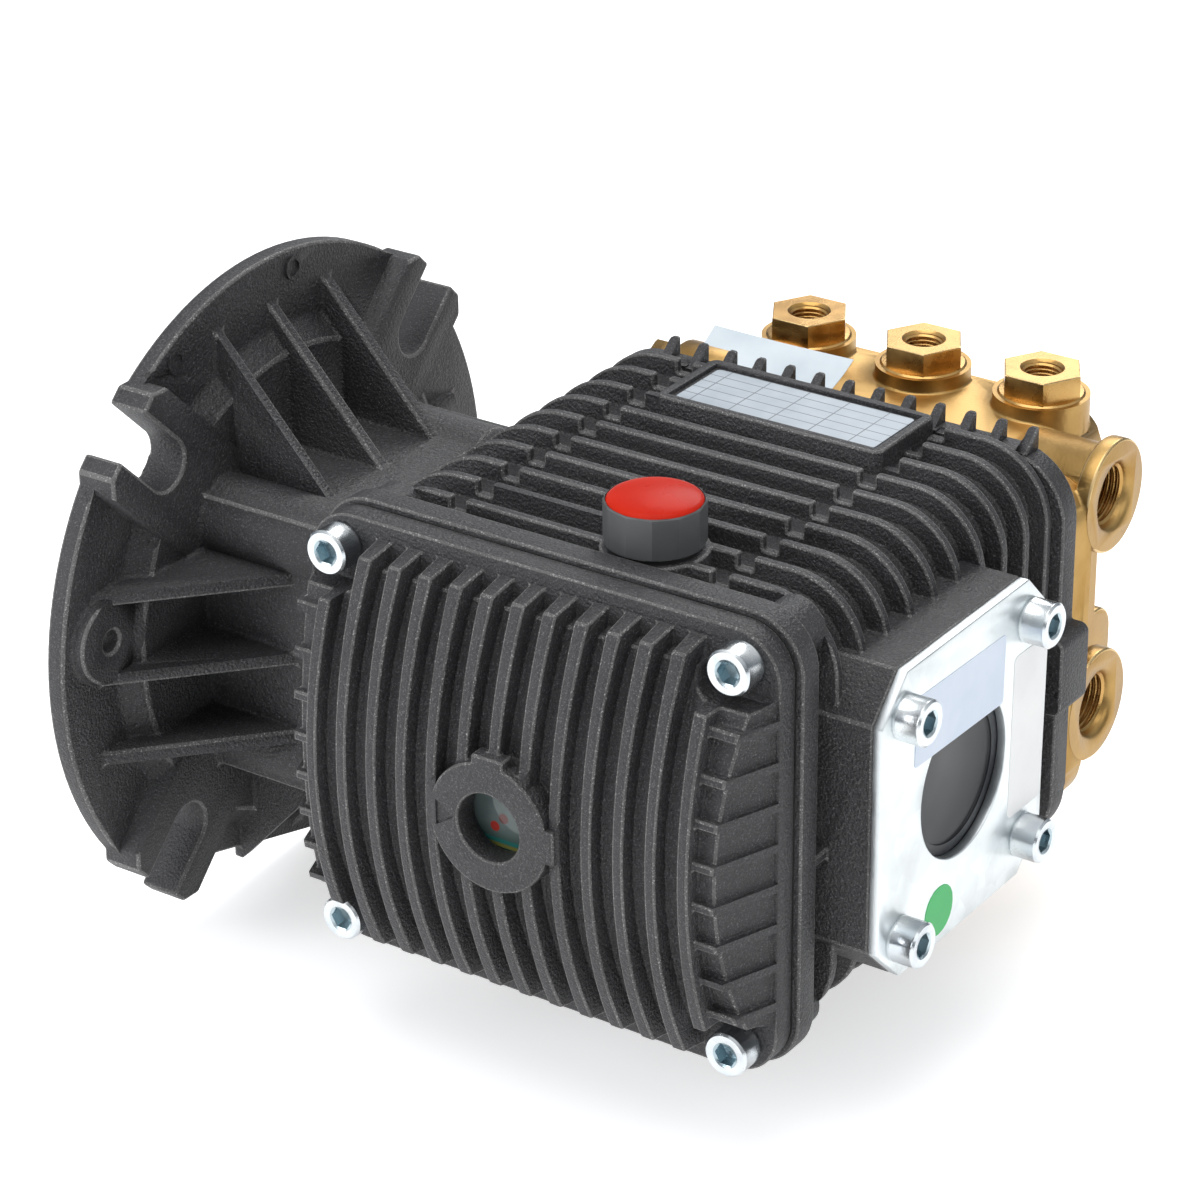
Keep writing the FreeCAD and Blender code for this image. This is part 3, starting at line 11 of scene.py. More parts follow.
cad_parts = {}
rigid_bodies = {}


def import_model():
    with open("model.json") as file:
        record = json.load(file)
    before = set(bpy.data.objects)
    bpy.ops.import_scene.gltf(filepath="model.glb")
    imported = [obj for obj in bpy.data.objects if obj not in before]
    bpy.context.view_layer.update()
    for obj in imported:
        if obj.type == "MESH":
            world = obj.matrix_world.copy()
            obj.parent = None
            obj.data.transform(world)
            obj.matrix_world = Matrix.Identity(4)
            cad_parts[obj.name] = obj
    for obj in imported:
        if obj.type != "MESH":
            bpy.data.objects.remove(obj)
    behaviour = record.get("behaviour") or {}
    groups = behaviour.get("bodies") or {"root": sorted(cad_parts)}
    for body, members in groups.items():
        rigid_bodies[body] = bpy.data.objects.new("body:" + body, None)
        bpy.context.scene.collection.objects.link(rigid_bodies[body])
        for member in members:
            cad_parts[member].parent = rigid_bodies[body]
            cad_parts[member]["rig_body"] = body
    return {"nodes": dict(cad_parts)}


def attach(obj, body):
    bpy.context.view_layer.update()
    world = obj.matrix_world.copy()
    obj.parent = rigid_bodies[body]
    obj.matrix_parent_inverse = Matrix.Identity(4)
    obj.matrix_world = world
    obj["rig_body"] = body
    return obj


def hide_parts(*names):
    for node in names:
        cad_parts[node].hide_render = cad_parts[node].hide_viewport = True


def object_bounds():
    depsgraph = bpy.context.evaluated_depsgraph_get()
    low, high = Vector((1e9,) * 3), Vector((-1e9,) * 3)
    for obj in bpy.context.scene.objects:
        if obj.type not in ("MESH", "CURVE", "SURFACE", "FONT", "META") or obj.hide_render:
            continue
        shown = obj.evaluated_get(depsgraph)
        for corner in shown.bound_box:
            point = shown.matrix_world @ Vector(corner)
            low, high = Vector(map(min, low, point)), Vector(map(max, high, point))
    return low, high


# All lengths are in metres, in the frame's own coordinates.
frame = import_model()
cad_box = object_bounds()
nodes = frame["nodes"]
scene = bpy.context.scene

# The studio: a pale floor under the lowest point, a white surround, and soft lamps.
# The camera stands where the photograph was taken, behind and to the right of the pump.
camera_data = bpy.data.cameras.new("camera")
camera_data.sensor_width = 36.0
camera_data.lens = 123.63
camera_data.clip_end = 20.0
camera_place = (0.7071, -0.8568, 0.5376)
camera = bpy.data.objects.new("camera", camera_data)
scene.collection.objects.link(camera)
scene.camera = camera
azimuth, elevation, roll = math.radians(34.44), math.radians(26.44), math.radians(-0.55)
back = Vector((math.sin(azimuth) * math.cos(elevation), -math.cos(azimuth) * math.cos(elevation),
               math.sin(elevation)))
turn = back.to_track_quat("Z", "Y").to_matrix().to_4x4() @ Matrix.Rotation(roll, 4, "Z")
camera.matrix_world = Matrix.Translation(camera_place) @ turn
scene.view_settings.view_transform = "Standard"


def new_node(tree, kind, values=None, **settings):
    """A shader node with its settings, and its input values or links by name or number."""
    made = tree.nodes.new(kind)
    for name, value in settings.items():
        setattr(made, name, value)
    for name, value in (values or {}).items():
        if isinstance(value, bpy.types.NodeSocket):
            tree.links.new(value, made.inputs[name])
        else:
            made.inputs[name].default_value = value
    return made


def studio_sky(tree, low_colour, high_colour):
    """A room that is darker at the horizon than overhead, and plain white to the camera."""
    direction = new_node(tree, "ShaderNodeTexCoord")
    height = new_node(tree, "ShaderNodeSeparateXYZ", {0: direction.outputs["Generated"]})
    rise = new_node(tree, "ShaderNodeMapRange",
                    {"Value": height.outputs["Z"], "From Min": 0.02, "From Max": 0.75})
    room = new_node(tree, "ShaderNodeMix", {0: rise.outputs[0], 6: low_colour, 7: high_colour},
                    data_type="RGBA")
    lit = new_node(tree, "ShaderNodeBackground", {"Color": room.outputs[2]})
    plain = new_node(tree, "ShaderNodeBackground", {"Color": (1, 1, 1, 1)})
    path = new_node(tree, "ShaderNodeLightPath")
    shown = new_node(tree, "ShaderNodeMixShader", {0: path.outputs["Is Camera Ray"], 1: lit.outputs[0],
                                                   2: plain.outputs[0]})
    new_node(tree, "ShaderNodeOutputWorld", {"Surface": shown.outputs[0]})


world = bpy.data.worlds.new("studio")
scene.world = world
world.use_nodes = True
world.node_tree.nodes.clear()
studio_sky(world.node_tree, (0.13, 0.15, 0.17, 1), (0.72, 0.74, 0.76, 1))

floor_half = 6.0
floor_gap = 0.0005
floor_mesh = bpy.data.meshes.new("floor")
bm = bmesh.new()
bmesh.ops.create_grid(bm, x_segments=1, y_segments=1, size=floor_half)
bmesh.ops.translate(bm, verts=bm.verts, vec=(0.1, 0.0, cad_box[0].z - floor_gap))
bm.to_mesh(floor_mesh)
bm.free()
floor = bpy.data.objects.new("floor", floor_mesh)
scene.collection.objects.link(floor)
floor_paint = bpy.data.materials.new("floor_white")
floor_paint.use_nodes = True
floor_paint.node_tree.nodes.clear()
path = new_node(floor_paint.node_tree, "ShaderNodeLightPath")
glow = new_node(floor_paint.node_tree, "ShaderNodeMapRange", {"Value": path.outputs["Is Camera Ray"],
                                                              "To Min": 0.34, "To Max": 0.52})
floor_shader = new_node(floor_paint.node_tree, "ShaderNodeBsdfPrincipled",
                        {"Base Color": (0.93, 0.93, 0.93, 1), "Roughness": 0.8,
                         "Emission Color": (1, 1, 1, 1), "Emission Strength": glow.outputs[0]})
new_node(floor_paint.node_tree, "ShaderNodeOutputMaterial", {"Surface": floor_shader.outputs[0]})
floor_mesh.materials.append(floor_paint)

lamps_aim = Vector((0.12, 0.02, 0.0))
for name, place, size, power, tint in (
        ("lamp_top", (0.10, -0.15, 1.25), 1.3, 8.0, (1.0, 1.0, 1.0)),
        ("lamp_right", (1.35, -0.25, 0.75), 0.9, 2.0, (1.0, 0.99, 0.97)),
        ("lamp_left", (-0.75, -1.15, 0.55), 0.9, 9.0, (0.97, 0.98, 1.0)),
        ("lamp_back", (-0.2, 1.2, 0.9), 0.9, 6.5, (1.0, 1.0, 1.0))):
    lamp_data = bpy.data.lights.new(name, "AREA")
    lamp_data.shape = "DISK"
    lamp_data.size = size
    lamp_data.energy = power
    lamp_data.color = tint
    lamp = bpy.data.objects.new(name, lamp_data)
    scene.collection.objects.link(lamp)
    aim = lamps_aim - Vector(place)
    lamp.matrix_world = Matrix.Translation(place) @ aim.to_track_quat("-Z", "Y").to_matrix().to_4x4()


# The black castings: engine flange, crankcase and rear cover, sand-cast in aluminium and
# painted. The edges are rounded by the mould; the rounded crests are painted lighter, partly as worn paint
# and partly as a painted highlight.
def new_group(name, outputs):
    """A shader group that takes a Scale and gives the named outputs."""
    tree = bpy.data.node_groups.new(name, "ShaderNodeTree")
    tree.interface.new_socket("Scale", in_out="INPUT", socket_type="NodeSocketFloat").default_value = 1.0
    for output in outputs:
        tree.interface.new_socket(output, in_out="OUTPUT", socket_type="NodeSocketFloat")
    given = tree.nodes.new("NodeGroupInput")
    place = new_node(tree, "ShaderNodeTexCoord")
    sized = new_node(tree, "ShaderNodeVectorMath",
                     {0: place.outputs["Object"], "Scale": given.outputs["Scale"]}, operation="SCALE")
    return tree, sized.outputs[0], tree.nodes.new("NodeGroupOutput")


def noise(tree, where, scale, detail, low, high):
    """Noise stretched so that low becomes 0 and high becomes 1."""
    made = new_node(tree, "ShaderNodeTexNoise", {"Vector": where, "Scale": scale, "Detail": detail})
    return new_node(tree, "ShaderNodeMapRange", {"Value": made.outputs[0], "From Min": low, "From Max": high})


cast_grain, where, result = new_group("cast_grain", ("Height", "Specks", "Patches"))
fine = noise(cast_grain, where, 1300.0, 3.0, 0.2, 0.8)
pits = new_node(cast_grain, "ShaderNodeTexVoronoi", {"Vector": where, "Scale": 850.0})
height = new_node(cast_grain, "ShaderNodeMath", {0: pits.outputs["Distance"], 1: 0.6, 2: fine.outputs[0]},
                  operation="MULTIPLY_ADD")
specks = noise(cast_grain, where, 2100.0, 2.0, 0.56, 0.74)
patches = noise(cast_grain, where, 26.0, 4.0, 0.35, 0.68)
for name, source in (("Height", height), ("Specks", specks), ("Patches", patches)):
    cast_grain.links.new(source.outputs[0], result.inputs[name])


def new_material(name):
    material = bpy.data.materials.new(name)
    material.use_nodes = True
    material.node_tree.nodes.clear()
    shader = material.node_tree.nodes.new("ShaderNodeBsdfPrincipled")
    new_node(material.node_tree, "ShaderNodeOutputMaterial", {"Surface": shader.outputs[0]})
    return material, material.node_tree, shader


def mixed(tree, factor, first, second):
    """The colour between first and second."""
    made = new_node(tree, "ShaderNodeMix", data_type="RGBA")
    for index, value in ((0, factor), (6, first), (7, second)):
        if isinstance(value, bpy.types.NodeSocket):
            tree.links.new(value, made.inputs[index])
        else:
            made.inputs[index].default_value = value
    return made.outputs[2]


def cast_paint(name, deep, pale, speck, rub):
    """Black paint over sand-cast grain; rub is how much of it is worn to the speck colour."""
    material, tree, shader = new_material(name)
    grain = new_node(tree, "ShaderNodeGroup", node_tree=cast_grain)
    base = mixed(tree, grain.outputs["Patches"], deep, pale)
    share = new_node(tree, "ShaderNodeMath", {0: grain.outputs["Specks"], 1: rub}, operation="MULTIPLY")
    tree.links.new(mixed(tree, share.outputs[0], base, speck), shader.inputs["Base Color"])
    gloss = new_node(tree, "ShaderNodeMapRange",
                     {"Value": grain.outputs["Patches"], "To Min": 0.44, "To Max": 0.56})
    tree.links.new(gloss.outputs[0], shader.inputs["Roughness"])
    bump = new_node(tree, "ShaderNodeBump",
                    {"Height": grain.outputs["Height"], "Strength": 0.8, "Distance": 0.00035})
    tree.links.new(bump.outputs[0], shader.inputs["Normal"])
    return material


black_paint = cast_paint("black_cast_paint", (0.022, 0.021, 0.0225, 1), (0.035, 0.0335, 0.0355, 1),
                         (0.16, 0.155, 0.16, 1), 0.7)
# The lighter paint for the rounded crests: partly worn paint, partly a painted highlight.
rubbed_and_highlight_paint = cast_paint("rubbed_cast_paint_with_painted_highlight", (0.060, 0.057, 0.057, 1), (0.130, 0.125, 0.123, 1),
                          (0.42, 0.41, 0.40, 1), 0.9)


def show(name, bm, materials, body, slot, *replaced, sharp=36.0):
    """Makes the finished mesh a piece on a body, standing for the CAD nodes named last."""
    mesh = bpy.data.meshes.new(name)
    for face in bm.faces:
        face.smooth = True
    bm.to_mesh(mesh)
    bm.free()
    mesh.set_sharp_from_angle(angle=math.radians(sharp))
    for material in materials:
        mesh.materials.append(material)
    piece = bpy.data.objects.new(name, mesh)
    scene.collection.objects.link(piece)
    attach(piece, body)
    if replaced:
        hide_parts(*replaced)
    return piece


def height_over(edge, face):
    """How far the face reaches from the line of one of its edges."""
    start = edge.verts[0].co
    along = (edge.verts[1].co - start).normalized()
    return max(((vert.co - start) - along * (vert.co - start).dot(along)).length for vert in face.verts)


def clear_of(edge, spot_tree, reach):
    """True if the edge stays further than the reach from every spot in the tree."""
    start, end = (vert.co for vert in edge.verts)
    around = edge.calc_length() / 2 + 2 * reach
    for found in spot_tree.find_range(start.lerp(end, 0.5), around):
        spot = found[0]
        share = intersect_point_line(spot, start, end)[1]
        nearest = start.lerp(end, min(max(share, 0.0), 1.0))
        if (spot - nearest).length < reach:
            return False
    return True


def crossing_spots(bm):
    """The points where the outline of a face with more than four corners crosses itself."""
    spots = []
    for face in bm.faces:
        count = len(face.verts)
        if count <= 4:
            continue
        corners = [vert.co.copy() for vert in face.verts]
        dropped = max(range(3), key=lambda axis: abs(face.normal[axis]))
        flat = [Vector([corner[axis] for axis in range(3) if axis != dropped]) for corner in corners]
        for i in range(count - 2):
            for j in range(i + 2, count - (i == 0)):
                k = (j + 1) % count
                point = intersect_line_line_2d(flat[i], flat[i + 1], flat[j], flat[k])
                if point:
                    share = (point - flat[i]).length / max((flat[i + 1] - flat[i]).length, 1e-9)
                    spots.append(corners[i].lerp(corners[i + 1], share))
    return spots


def roomy_edges(bm, sign, size, sharp_turn, spots, narrow_point=35.0):
    """The sharp edges that turn out (1) or in (-1), with room beside them for a rounding of that size.
    Where two meet in a narrow point, the shorter one stays sharp."""
    limit = math.radians(sharp_turn)
    spot_tree = KDTree(len(spots))
    for number, spot in enumerate(spots):
        spot_tree.insert(spot, number)
    spot_tree.balance()
    chosen = {edge for edge in bm.edges
              if len(edge.link_faces) == 2 and sign * edge.calc_face_angle_signed(0) > limit
              and all(height_over(edge, face) > 2 * size for face in edge.link_faces)
              and clear_of(edge, spot_tree, 2 * size)}
    narrow = math.radians(narrow_point)
    for face in bm.faces:
        for loop in face.loops:
            pair = (loop.edge, loop.link_loop_prev.edge)
            if all(edge in chosen for edge in pair) and loop.calc_angle() < narrow:
                chosen.discard(min(pair, key=lambda edge: edge.calc_length()))
    return [edge for edge in bm.edges if edge in chosen]


seam_gap = 0.000004
flat_turn = 0.6
stray_share = 1.2
softening_tries = 4


def bevelled(node, round_over, fillet, outer_index, sharp_turn, spots):
    """A merged copy of a CAD node, rounded on its edges but for those near the spots.
    A corner that a rounding throws off the solid is put back onto it."""
    bm = bmesh.new()
    bm.from_mesh(nodes[node].data)
    bmesh.ops.remove_doubles(bm, verts=bm.verts, dist=seam_gap)
    bmesh.ops.dissolve_limit(bm, angle_limit=math.radians(flat_turn), verts=bm.verts, edges=bm.edges)
    for face in bm.faces:
        face.material_index = 0
    cad_surface = BVHTree.FromBMesh(bm)
    for size, sign, index in ((fillet, -1, 0), (round_over, 1, outer_index)):
        if size > 0:
            bmesh.ops.bevel(bm, geom=roomy_edges(bm, sign, size, sharp_turn, spots), offset=size,
                            offset_type="OFFSET", segments=2, profile=0.5, affect="EDGES",
                            clamp_overlap=False, material=index)
            for vert in bm.verts:
                nearest = cad_surface.find_nearest(vert.co)
                if nearest[3] > stray_share * size:
                    vert.co = nearest[0]
    return bm


def softened(node, name, round_over, fillet, materials, slot, sharp_turn=34.0):
    """A CAD node's skin with its outer edges rounded and its inner ones filleted.
    Where roundings run into each other it is made again with those edges left sharp."""
    spots = []
    for attempt in range(softening_tries):
        bm = bevelled(node, round_over, fillet, len(materials) - 1, sharp_turn, spots)
        crossed = crossing_spots(bm)
        if not crossed or attempt == softening_tries - 1:
            break
        spots += crossed
        bm.free()
    return show(name, bm, materials, nodes[node]["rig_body"], slot, node)


softened("engine_flange", "flange_casting", 0.0009, 0.0012, [black_paint, rubbed_and_highlight_paint], "black_casting")
softened("crankcase", "crankcase_casting", 0.0007, 0.0006, [black_paint, rubbed_and_highlight_paint], "black_casting")
softened("rear_cover", "cover_casting", 0.0006, 0.00055, [black_paint, rubbed_and_highlight_paint], "black_casting")


# Bright zinc-plated socket head screws on the rear cover, the bearing plate, the engine
# flange and the brass head. The heads are finely fluted, and the sockets are painted a darker bluish zinc as
# painted shade.
metal_skin, where, result = new_group("metal_skin", ("Cloud", "Fine"))
cloud = noise(metal_skin, where, 90.0, 5.0, 0.34, 0.66)
scuffs = noise(metal_skin, where, 1500.0, 3.0, 0.3, 0.7)
for name, source in (("Cloud", cloud), ("Fine", scuffs)):
    metal_skin.links.new(source.outputs[0], result.inputs[name])


def skinned(name, group, first, second, rough, bump, metallic, scale=1.0):
    """A material whose colour and roughness wander with a group's first output.
    The group's second output is its grain."""
    material, tree, shader = new_material(name)
    skin = new_node(tree, "ShaderNodeGroup", {}, node_tree=group)
    skin.inputs["Scale"].default_value = scale
    tree.links.new(mixed(tree, skin.outputs[0], first, second), shader.inputs["Base Color"])
    gloss = new_node(tree, "ShaderNodeMapRange",
                     {"Value": skin.outputs[0], "To Min": rough[0], "To Max": rough[1]})
    tree.links.new(gloss.outputs[0], shader.inputs["Roughness"])
    grain = new_node(tree, "ShaderNodeBump",
                     {"Height": skin.outputs[1], "Strength": bump, "Distance": 0.0001})
    tree.links.new(grain.outputs[0], shader.inputs["Normal"])
    shader.inputs["Metallic"].default_value = metallic
    return material


zinc = skinned("bright_zinc", metal_skin, (0.62, 0.67, 0.71, 1), (0.80, 0.82, 0.82, 1),
               (0.16, 0.30), 0.10, 1.0, 1.6)
# A darker bluish zinc for the inside of the sockets: painted shade in the recess.
zinc_socket_shade = skinned("zinc_painted_socket_shade", metal_skin, (0.34, 0.45, 0.50, 1), (0.60, 0.69, 0.72, 1),
                      (0.2, 0.4), 0.2, 1.0)
screw_radius = 0.0040
screw_tip = 0.0008
head_radius = 0.0065
head_height = 0.0080
head_edge = 0.0006
flutes_low = 0.0010
flutes_high = 0.0070
flute_depth = 0.00007
socket_flats = 0.0060
socket_corner = 0.00345
socket_floor = 0.0036
socket_mouth = 0.0040
hair = 0.0001


def stacked(rings, steps, sides=6, flutes=0.0):
    """A closed solid grown ring by ring along Z. Each ring is (height, radius, flats), and flats above
    0 cut it to a polygon. A ring of negative radius is fluted by the given depth."""
    bm = bmesh.new()
    corners = bmesh.ops.create_circle(bm, cap_ends=True, segments=steps, radius=1.0)["verts"]
    rim = list(bm.edges)
    for level, (height, radius, flats) in enumerate(rings):
        if level:
            grown = bmesh.ops.extrude_edge_only(bm, edges=rim)["geom"]
            corners = [item for item in grown if isinstance(item, bmesh.types.BMVert)]
            rim = [item for item in grown if isinstance(item, bmesh.types.BMEdge)
                   and all(vert in corners for vert in item.verts)]
        for corner in corners:
            turn = math.atan2(corner.co.y, corner.co.x)
            reach = abs(radius)
            if flats:
                fold = turn % (2 * math.pi / sides) - math.pi / sides
                reach = min(reach, flats / 2 / math.cos(fold))
            if radius < 0 and round(turn * steps / (2 * math.pi)) % 2:
                reach -= flutes
            corner.co = (reach * math.cos(turn), reach * math.sin(turn), height)
    bmesh.ops.contextual_create(bm, geom=rim)
    bmesh.ops.recalc_face_normals(bm, faces=bm.faces)
    return bm


def placed(bm_part, places):
    """One mesh with the part standing at each seat, its Z along the outward direction there."""
    part = bpy.data.meshes.new("part")
    bm_part.to_mesh(part)
    bm_part.free()
    whole = bmesh.new()
    for seat, outward in places:
        moved = part.copy()
        stand = Vector(outward).to_track_quat("Z", "Y").to_matrix().to_4x4()
        moved.transform(Matrix.Translation(seat) @ stand)
        whole.from_mesh(moved)
        bpy.data.meshes.remove(moved)
    bpy.data.meshes.remove(part)
    return whole


def cap_screws(bm, places, length):
    """Adds socket head screws of one length below the head."""
    shank = [(-length, screw_radius - screw_tip, 0), (-length + screw_tip, screw_radius, 0),
             (0.0, screw_radius, 0)]
    head = [(0.0, head_radius - 2 * hair, 0), (3 * hair, head_radius, 0), (flutes_low, head_radius, 0),
            (flutes_low + hair, -head_radius, 0), (flutes_high - hair, -head_radius, 0),
            (flutes_high, head_radius, 0), (head_height - head_edge, head_radius, 0),
            (head_height, head_radius - head_edge, 0), (head_height, socket_mouth, 0),
            (head_height - hair, socket_mouth - 2 * hair, 0)]
    socket = [(head_height - 5 * hair, socket_corner, socket_flats),
              (socket_floor, socket_corner, socket_flats), (socket_floor - 4 * hair, 0.0010, 0)]
    screw = stacked(shank + head + socket, 72, flutes=flute_depth)
    # The socket's walls and floor take the darker bluish zinc, a painted shade.
    for face in screw.faces:
        lowest = min(vert.co.z for vert in face.verts)
        if face.calc_center_median().xy.length < socket_mouth - 3 * hair and lowest > flutes_low:
            face.material_index = 1
    copies = placed(screw, places)
    set_mesh = bpy.data.meshes.new("screws")
    copies.to_mesh(set_mesh)
    copies.free()
    bm.from_mesh(set_mesh)
    bpy.data.meshes.remove(set_mesh)


def square(half_first, half_second):
    return [(a * half_first, b * half_second) for a in (-1, 1) for b in (-1, 1)]


cylinder_x = (0.107, 0.147, 0.187)
middle = cylinder_x[1]
between = (cylinder_x[1] - cylinder_x[0]) / 2
cover_seat_y = -0.069
plate_face_x = 0.238
flange_seat_x = 0.020
bearing_square = square(0.0335, 0.0335)
screw_sets = (
    ("cover_screws", "rear_cover_screws",
     [(0.022, [((middle + x, cover_seat_y, z), (0, -1, 0)) for x, z in square(0.064, 0.057)])]),
    ("plate_screws", "bearing_plate_screws",
     [(0.017, [((plate_face_x, y, z), (1, 0, 0)) for y, z in bearing_square])]),
    ("flange_bolts", "flange_screws",
     [(0.053, [((flange_seat_x, y, z), (-1, 0, 0)) for y, z in bearing_square])]),
    ("head_screws", "manifold_screws",
     [(0.0685, [((middle + x, 0.140, 0.0215), (0, 1, 0)) for x in (-between, between)]),
      (0.0785, [((middle + x, 0.150, -0.043), (0, 1, 0)) for x in (-between, between)]),
      (0.0225, [((middle + x, 0.094, z), (0, 1, 0)) for x in (-0.065, 0.065) for z in (0.008, -0.048)])]))
for name, node, lengths in screw_sets:
    bm = bmesh.new()
    for length, places in lengths:
        cap_screws(bm, places, length)
    show(name, bm, [zinc, zinc_socket_shade], "pump_body", "zinc_steel", node)


# The filler: a grey twelve-sided cap with a thread below, a small vent in one side, and
# a glossy red disc pressed into its top.
moulded_skin, where, result = new_group("moulded_skin", ("Mottle", "Grain"))
mottle = noise(moulded_skin, where, 45.0, 4.0, 0.35, 0.65)
grain = noise(moulded_skin, where, 2600.0, 2.0, 0.3, 0.7)
for name, source in (("Mottle", mottle), ("Grain", grain)):
    moulded_skin.links.new(source.outputs[0], result.inputs[name])

cap_grey = skinned("filler_cap_grey", moulded_skin, (0.080, 0.081, 0.083, 1), (0.108, 0.109, 0.110, 1),
                   (0.36, 0.46), 0.12, 0.0)
cap_dark = skinned("filler_cap_shadow", moulded_skin, (0.012, 0.012, 0.013, 1), (0.020, 0.020, 0.021, 1),
                   (0.4, 0.5), 0.1, 0.0)
disc_red = skinned("filler_disc_red", moulded_skin, (0.46, 0.014, 0.005, 1), (0.54, 0.022, 0.007, 1),
                   (0.24, 0.32), 0.02, 0.0)
disc_red.node_tree.nodes["Principled BSDF"].inputs["Specular IOR Level"].default_value = 0.06
filler_place = ((0.1627, -0.0368, 0.0), (0, 0, 1))
cap_foot = 0.0660
cap_top = 0.0780
cap_corner = 0.0140
cap_flats = 0.02704
disc_seat = 0.0769
thread_pitch = 0.0015
vent_turn = 0.1
vent_z = 0.0738
thread = []
for k in range(6):
    low = 0.0563 + thread_pitch * k
    thread += [(low, 0.0074, 0), (low + 0.0007, 0.0080, 0)]
cap_rings = [(0.0550, 0.0073, 0)] + thread + [
    (cap_foot, 0.0079, 0), (cap_foot, 0.0137, cap_flats), (0.0663, cap_corner, cap_flats),
    (0.0728, cap_corner, cap_flats), (0.0748, cap_corner, cap_flats), (0.0776, cap_corner, cap_flats),
    (cap_top, 0.0137, cap_flats - 0.0006), (cap_top, 0.01335, 0), (0.0768, 0.0132, 0), (0.0768, 0.0010, 0)]
cap = stacked(cap_rings, 48, sides=12)
vent_place = Vector((0.0138 * math.cos(vent_turn), 0.0138 * math.sin(vent_turn), vent_z))
vent = min(cap.faces, key=lambda face: (face.calc_center_median() - vent_place).length)
bmesh.ops.inset_individual(cap, faces=[vent], thickness=0.00025)
vent.material_index = 1
for ring in bmesh.ops.inset_individual(cap, faces=[vent], thickness=0.00005, depth=-0.0014)["faces"]:
    ring.material_index = 1
for face in cap.faces:
    if face.calc_center_median().z > cap_top - 0.00005:
        face.material_index = 1
show("filler_cap_body", placed(cap, [filler_place]), [cap_grey, cap_dark], "filler_cap", "grey_cap",
     "filler_cap", sharp=24.0)
disc_radius = 0.0129
disc_rise = 0.0020
dome = [(cap_top + disc_rise * math.cos(math.radians(turn)), disc_radius * math.sin(math.radians(turn)), 0)
        for turn in (86, 78, 68, 58, 46, 34, 22, 10, 2)]
disc = stacked([(disc_seat, disc_radius, 0), (0.0772, 0.0131, 0), (0.0779, 0.0131, 0)] + dome, 64)
show("filler_disc", placed(disc, [filler_place]), [disc_red], "filler_cap", "red_disc", "filler_cap_disc")


# The sight glass in the rear cover's boss: a slightly domed lens over a pale cup, with two
# red dots and the teal and yellow lines of the oil's level.
def fading(tree, distance, inner, soft):
    """1 up to the inner distance, falling to 0 over soft beyond it."""
    faded = new_node(tree, "ShaderNodeMapRange", {"Value": distance, "From Min": inner,
                                                  "From Max": inner + soft, "To Min": 1.0, "To Max": 0.0})
    return faded.outputs[0]


def disc_mask(tree, where, centre, radius):
    """1 inside a ball round the centre, with a soft edge."""
    away = new_node(tree, "ShaderNodeVectorMath", {0: where, 1: centre}, operation="DISTANCE")
    return fading(tree, away.outputs["Value"], radius, 0.0004)


def level_mask(tree, height, level, half_width, soft):
    """1 in a level band, falling to 0 over soft above and below it."""
    off = new_node(tree, "ShaderNodeMath", {0: height, 1: level}, operation="SUBTRACT")
    size = new_node(tree, "ShaderNodeMath", {0: off.outputs[0]}, operation="ABSOLUTE")
    return fading(tree, size.outputs[0], half_width, soft)


def glass_material():
    material, tree, shader = new_material("sight_glass")
    where = new_node(tree, "ShaderNodeTexCoord").outputs["Object"]
    height = new_node(tree, "ShaderNodeSeparateXYZ", {0: where}).outputs["Z"]
    skin = new_node(tree, "ShaderNodeGroup", node_tree=moulded_skin)
    colour = mixed(tree, skin.outputs[0], (0.085, 0.110, 0.110, 1), (0.150, 0.185, 0.180, 1))
    deep = new_node(tree, "ShaderNodeMapRange", {"Value": height, "From Min": -0.003, "From Max": -0.0095})
    colour = mixed(tree, deep.outputs[0], colour, (0.030, 0.075, 0.060, 1))
    for level, half_width, soft, tone in ((-0.0082, 0.0004, 0.0006, (0.02, 0.17, 0.15, 1)),
                                          (-0.0094, 0.0003, 0.0005, (0.22, 0.21, 0.05, 1))):
        colour = mixed(tree, level_mask(tree, height, level, half_width, soft), colour, tone)
    for centre, tone in (((0.1436, lens_front, -0.0040), (0.36, 0.035, 0.025, 1)),
                         ((0.1465, lens_front, -0.0010), (0.15, 0.055, 0.050, 1))):
        colour = mixed(tree, disc_mask(tree, where, centre, red_dot_radius), colour, tone)
    tree.links.new(colour, shader.inputs["Base Color"])
    shader.inputs["Roughness"].default_value = 0.06
    shader.inputs["Alpha"].default_value = 0.88
    return material


lens_front = -0.0855
lens_thickness = 0.0040
glass_radius = 0.0129
cup_back = -0.0775
red_dot_radius = 0.0013
lens_rings = [(0.0, 0.0126, 0), (0.0003, glass_radius, 0), (0.0034, glass_radius, 0), (0.0036, 0.0125, 0),
              (0.0038, 0.0085, 0), (lens_thickness, 0.0042, 0), (lens_thickness, 0.0004, 0)]
lens_place = ((middle, lens_front + lens_thickness, 0), (0, -1, 0))
show("sight_lens", placed(stacked(lens_rings, 64), [lens_place]), [glass_material()],
     "pump_body", "sight_glass", "sight_glass_lens")
cup_pale = skinned("sight_cup", moulded_skin, (0.30, 0.42, 0.42, 1), (0.44, 0.55, 0.53, 1),
                   (0.3, 0.4), 0.05, 0.0)
cup_rings = [(0.0, 0.0126, 0), (0.0003, glass_radius, 0), (0.0040, glass_radius, 0), (0.0040, 0.0112, 0),
             (0.0013, 0.0108, 0), (0.0010, 0.0104, 0), (0.0010, 0.0005, 0)]
show("sight_cup", placed(stacked(cup_rings, 64), [((middle, cup_back, 0), (0, -1, 0))]), [cup_pale],
     "pump_body", "sight_back", "sight_glass_reflector")


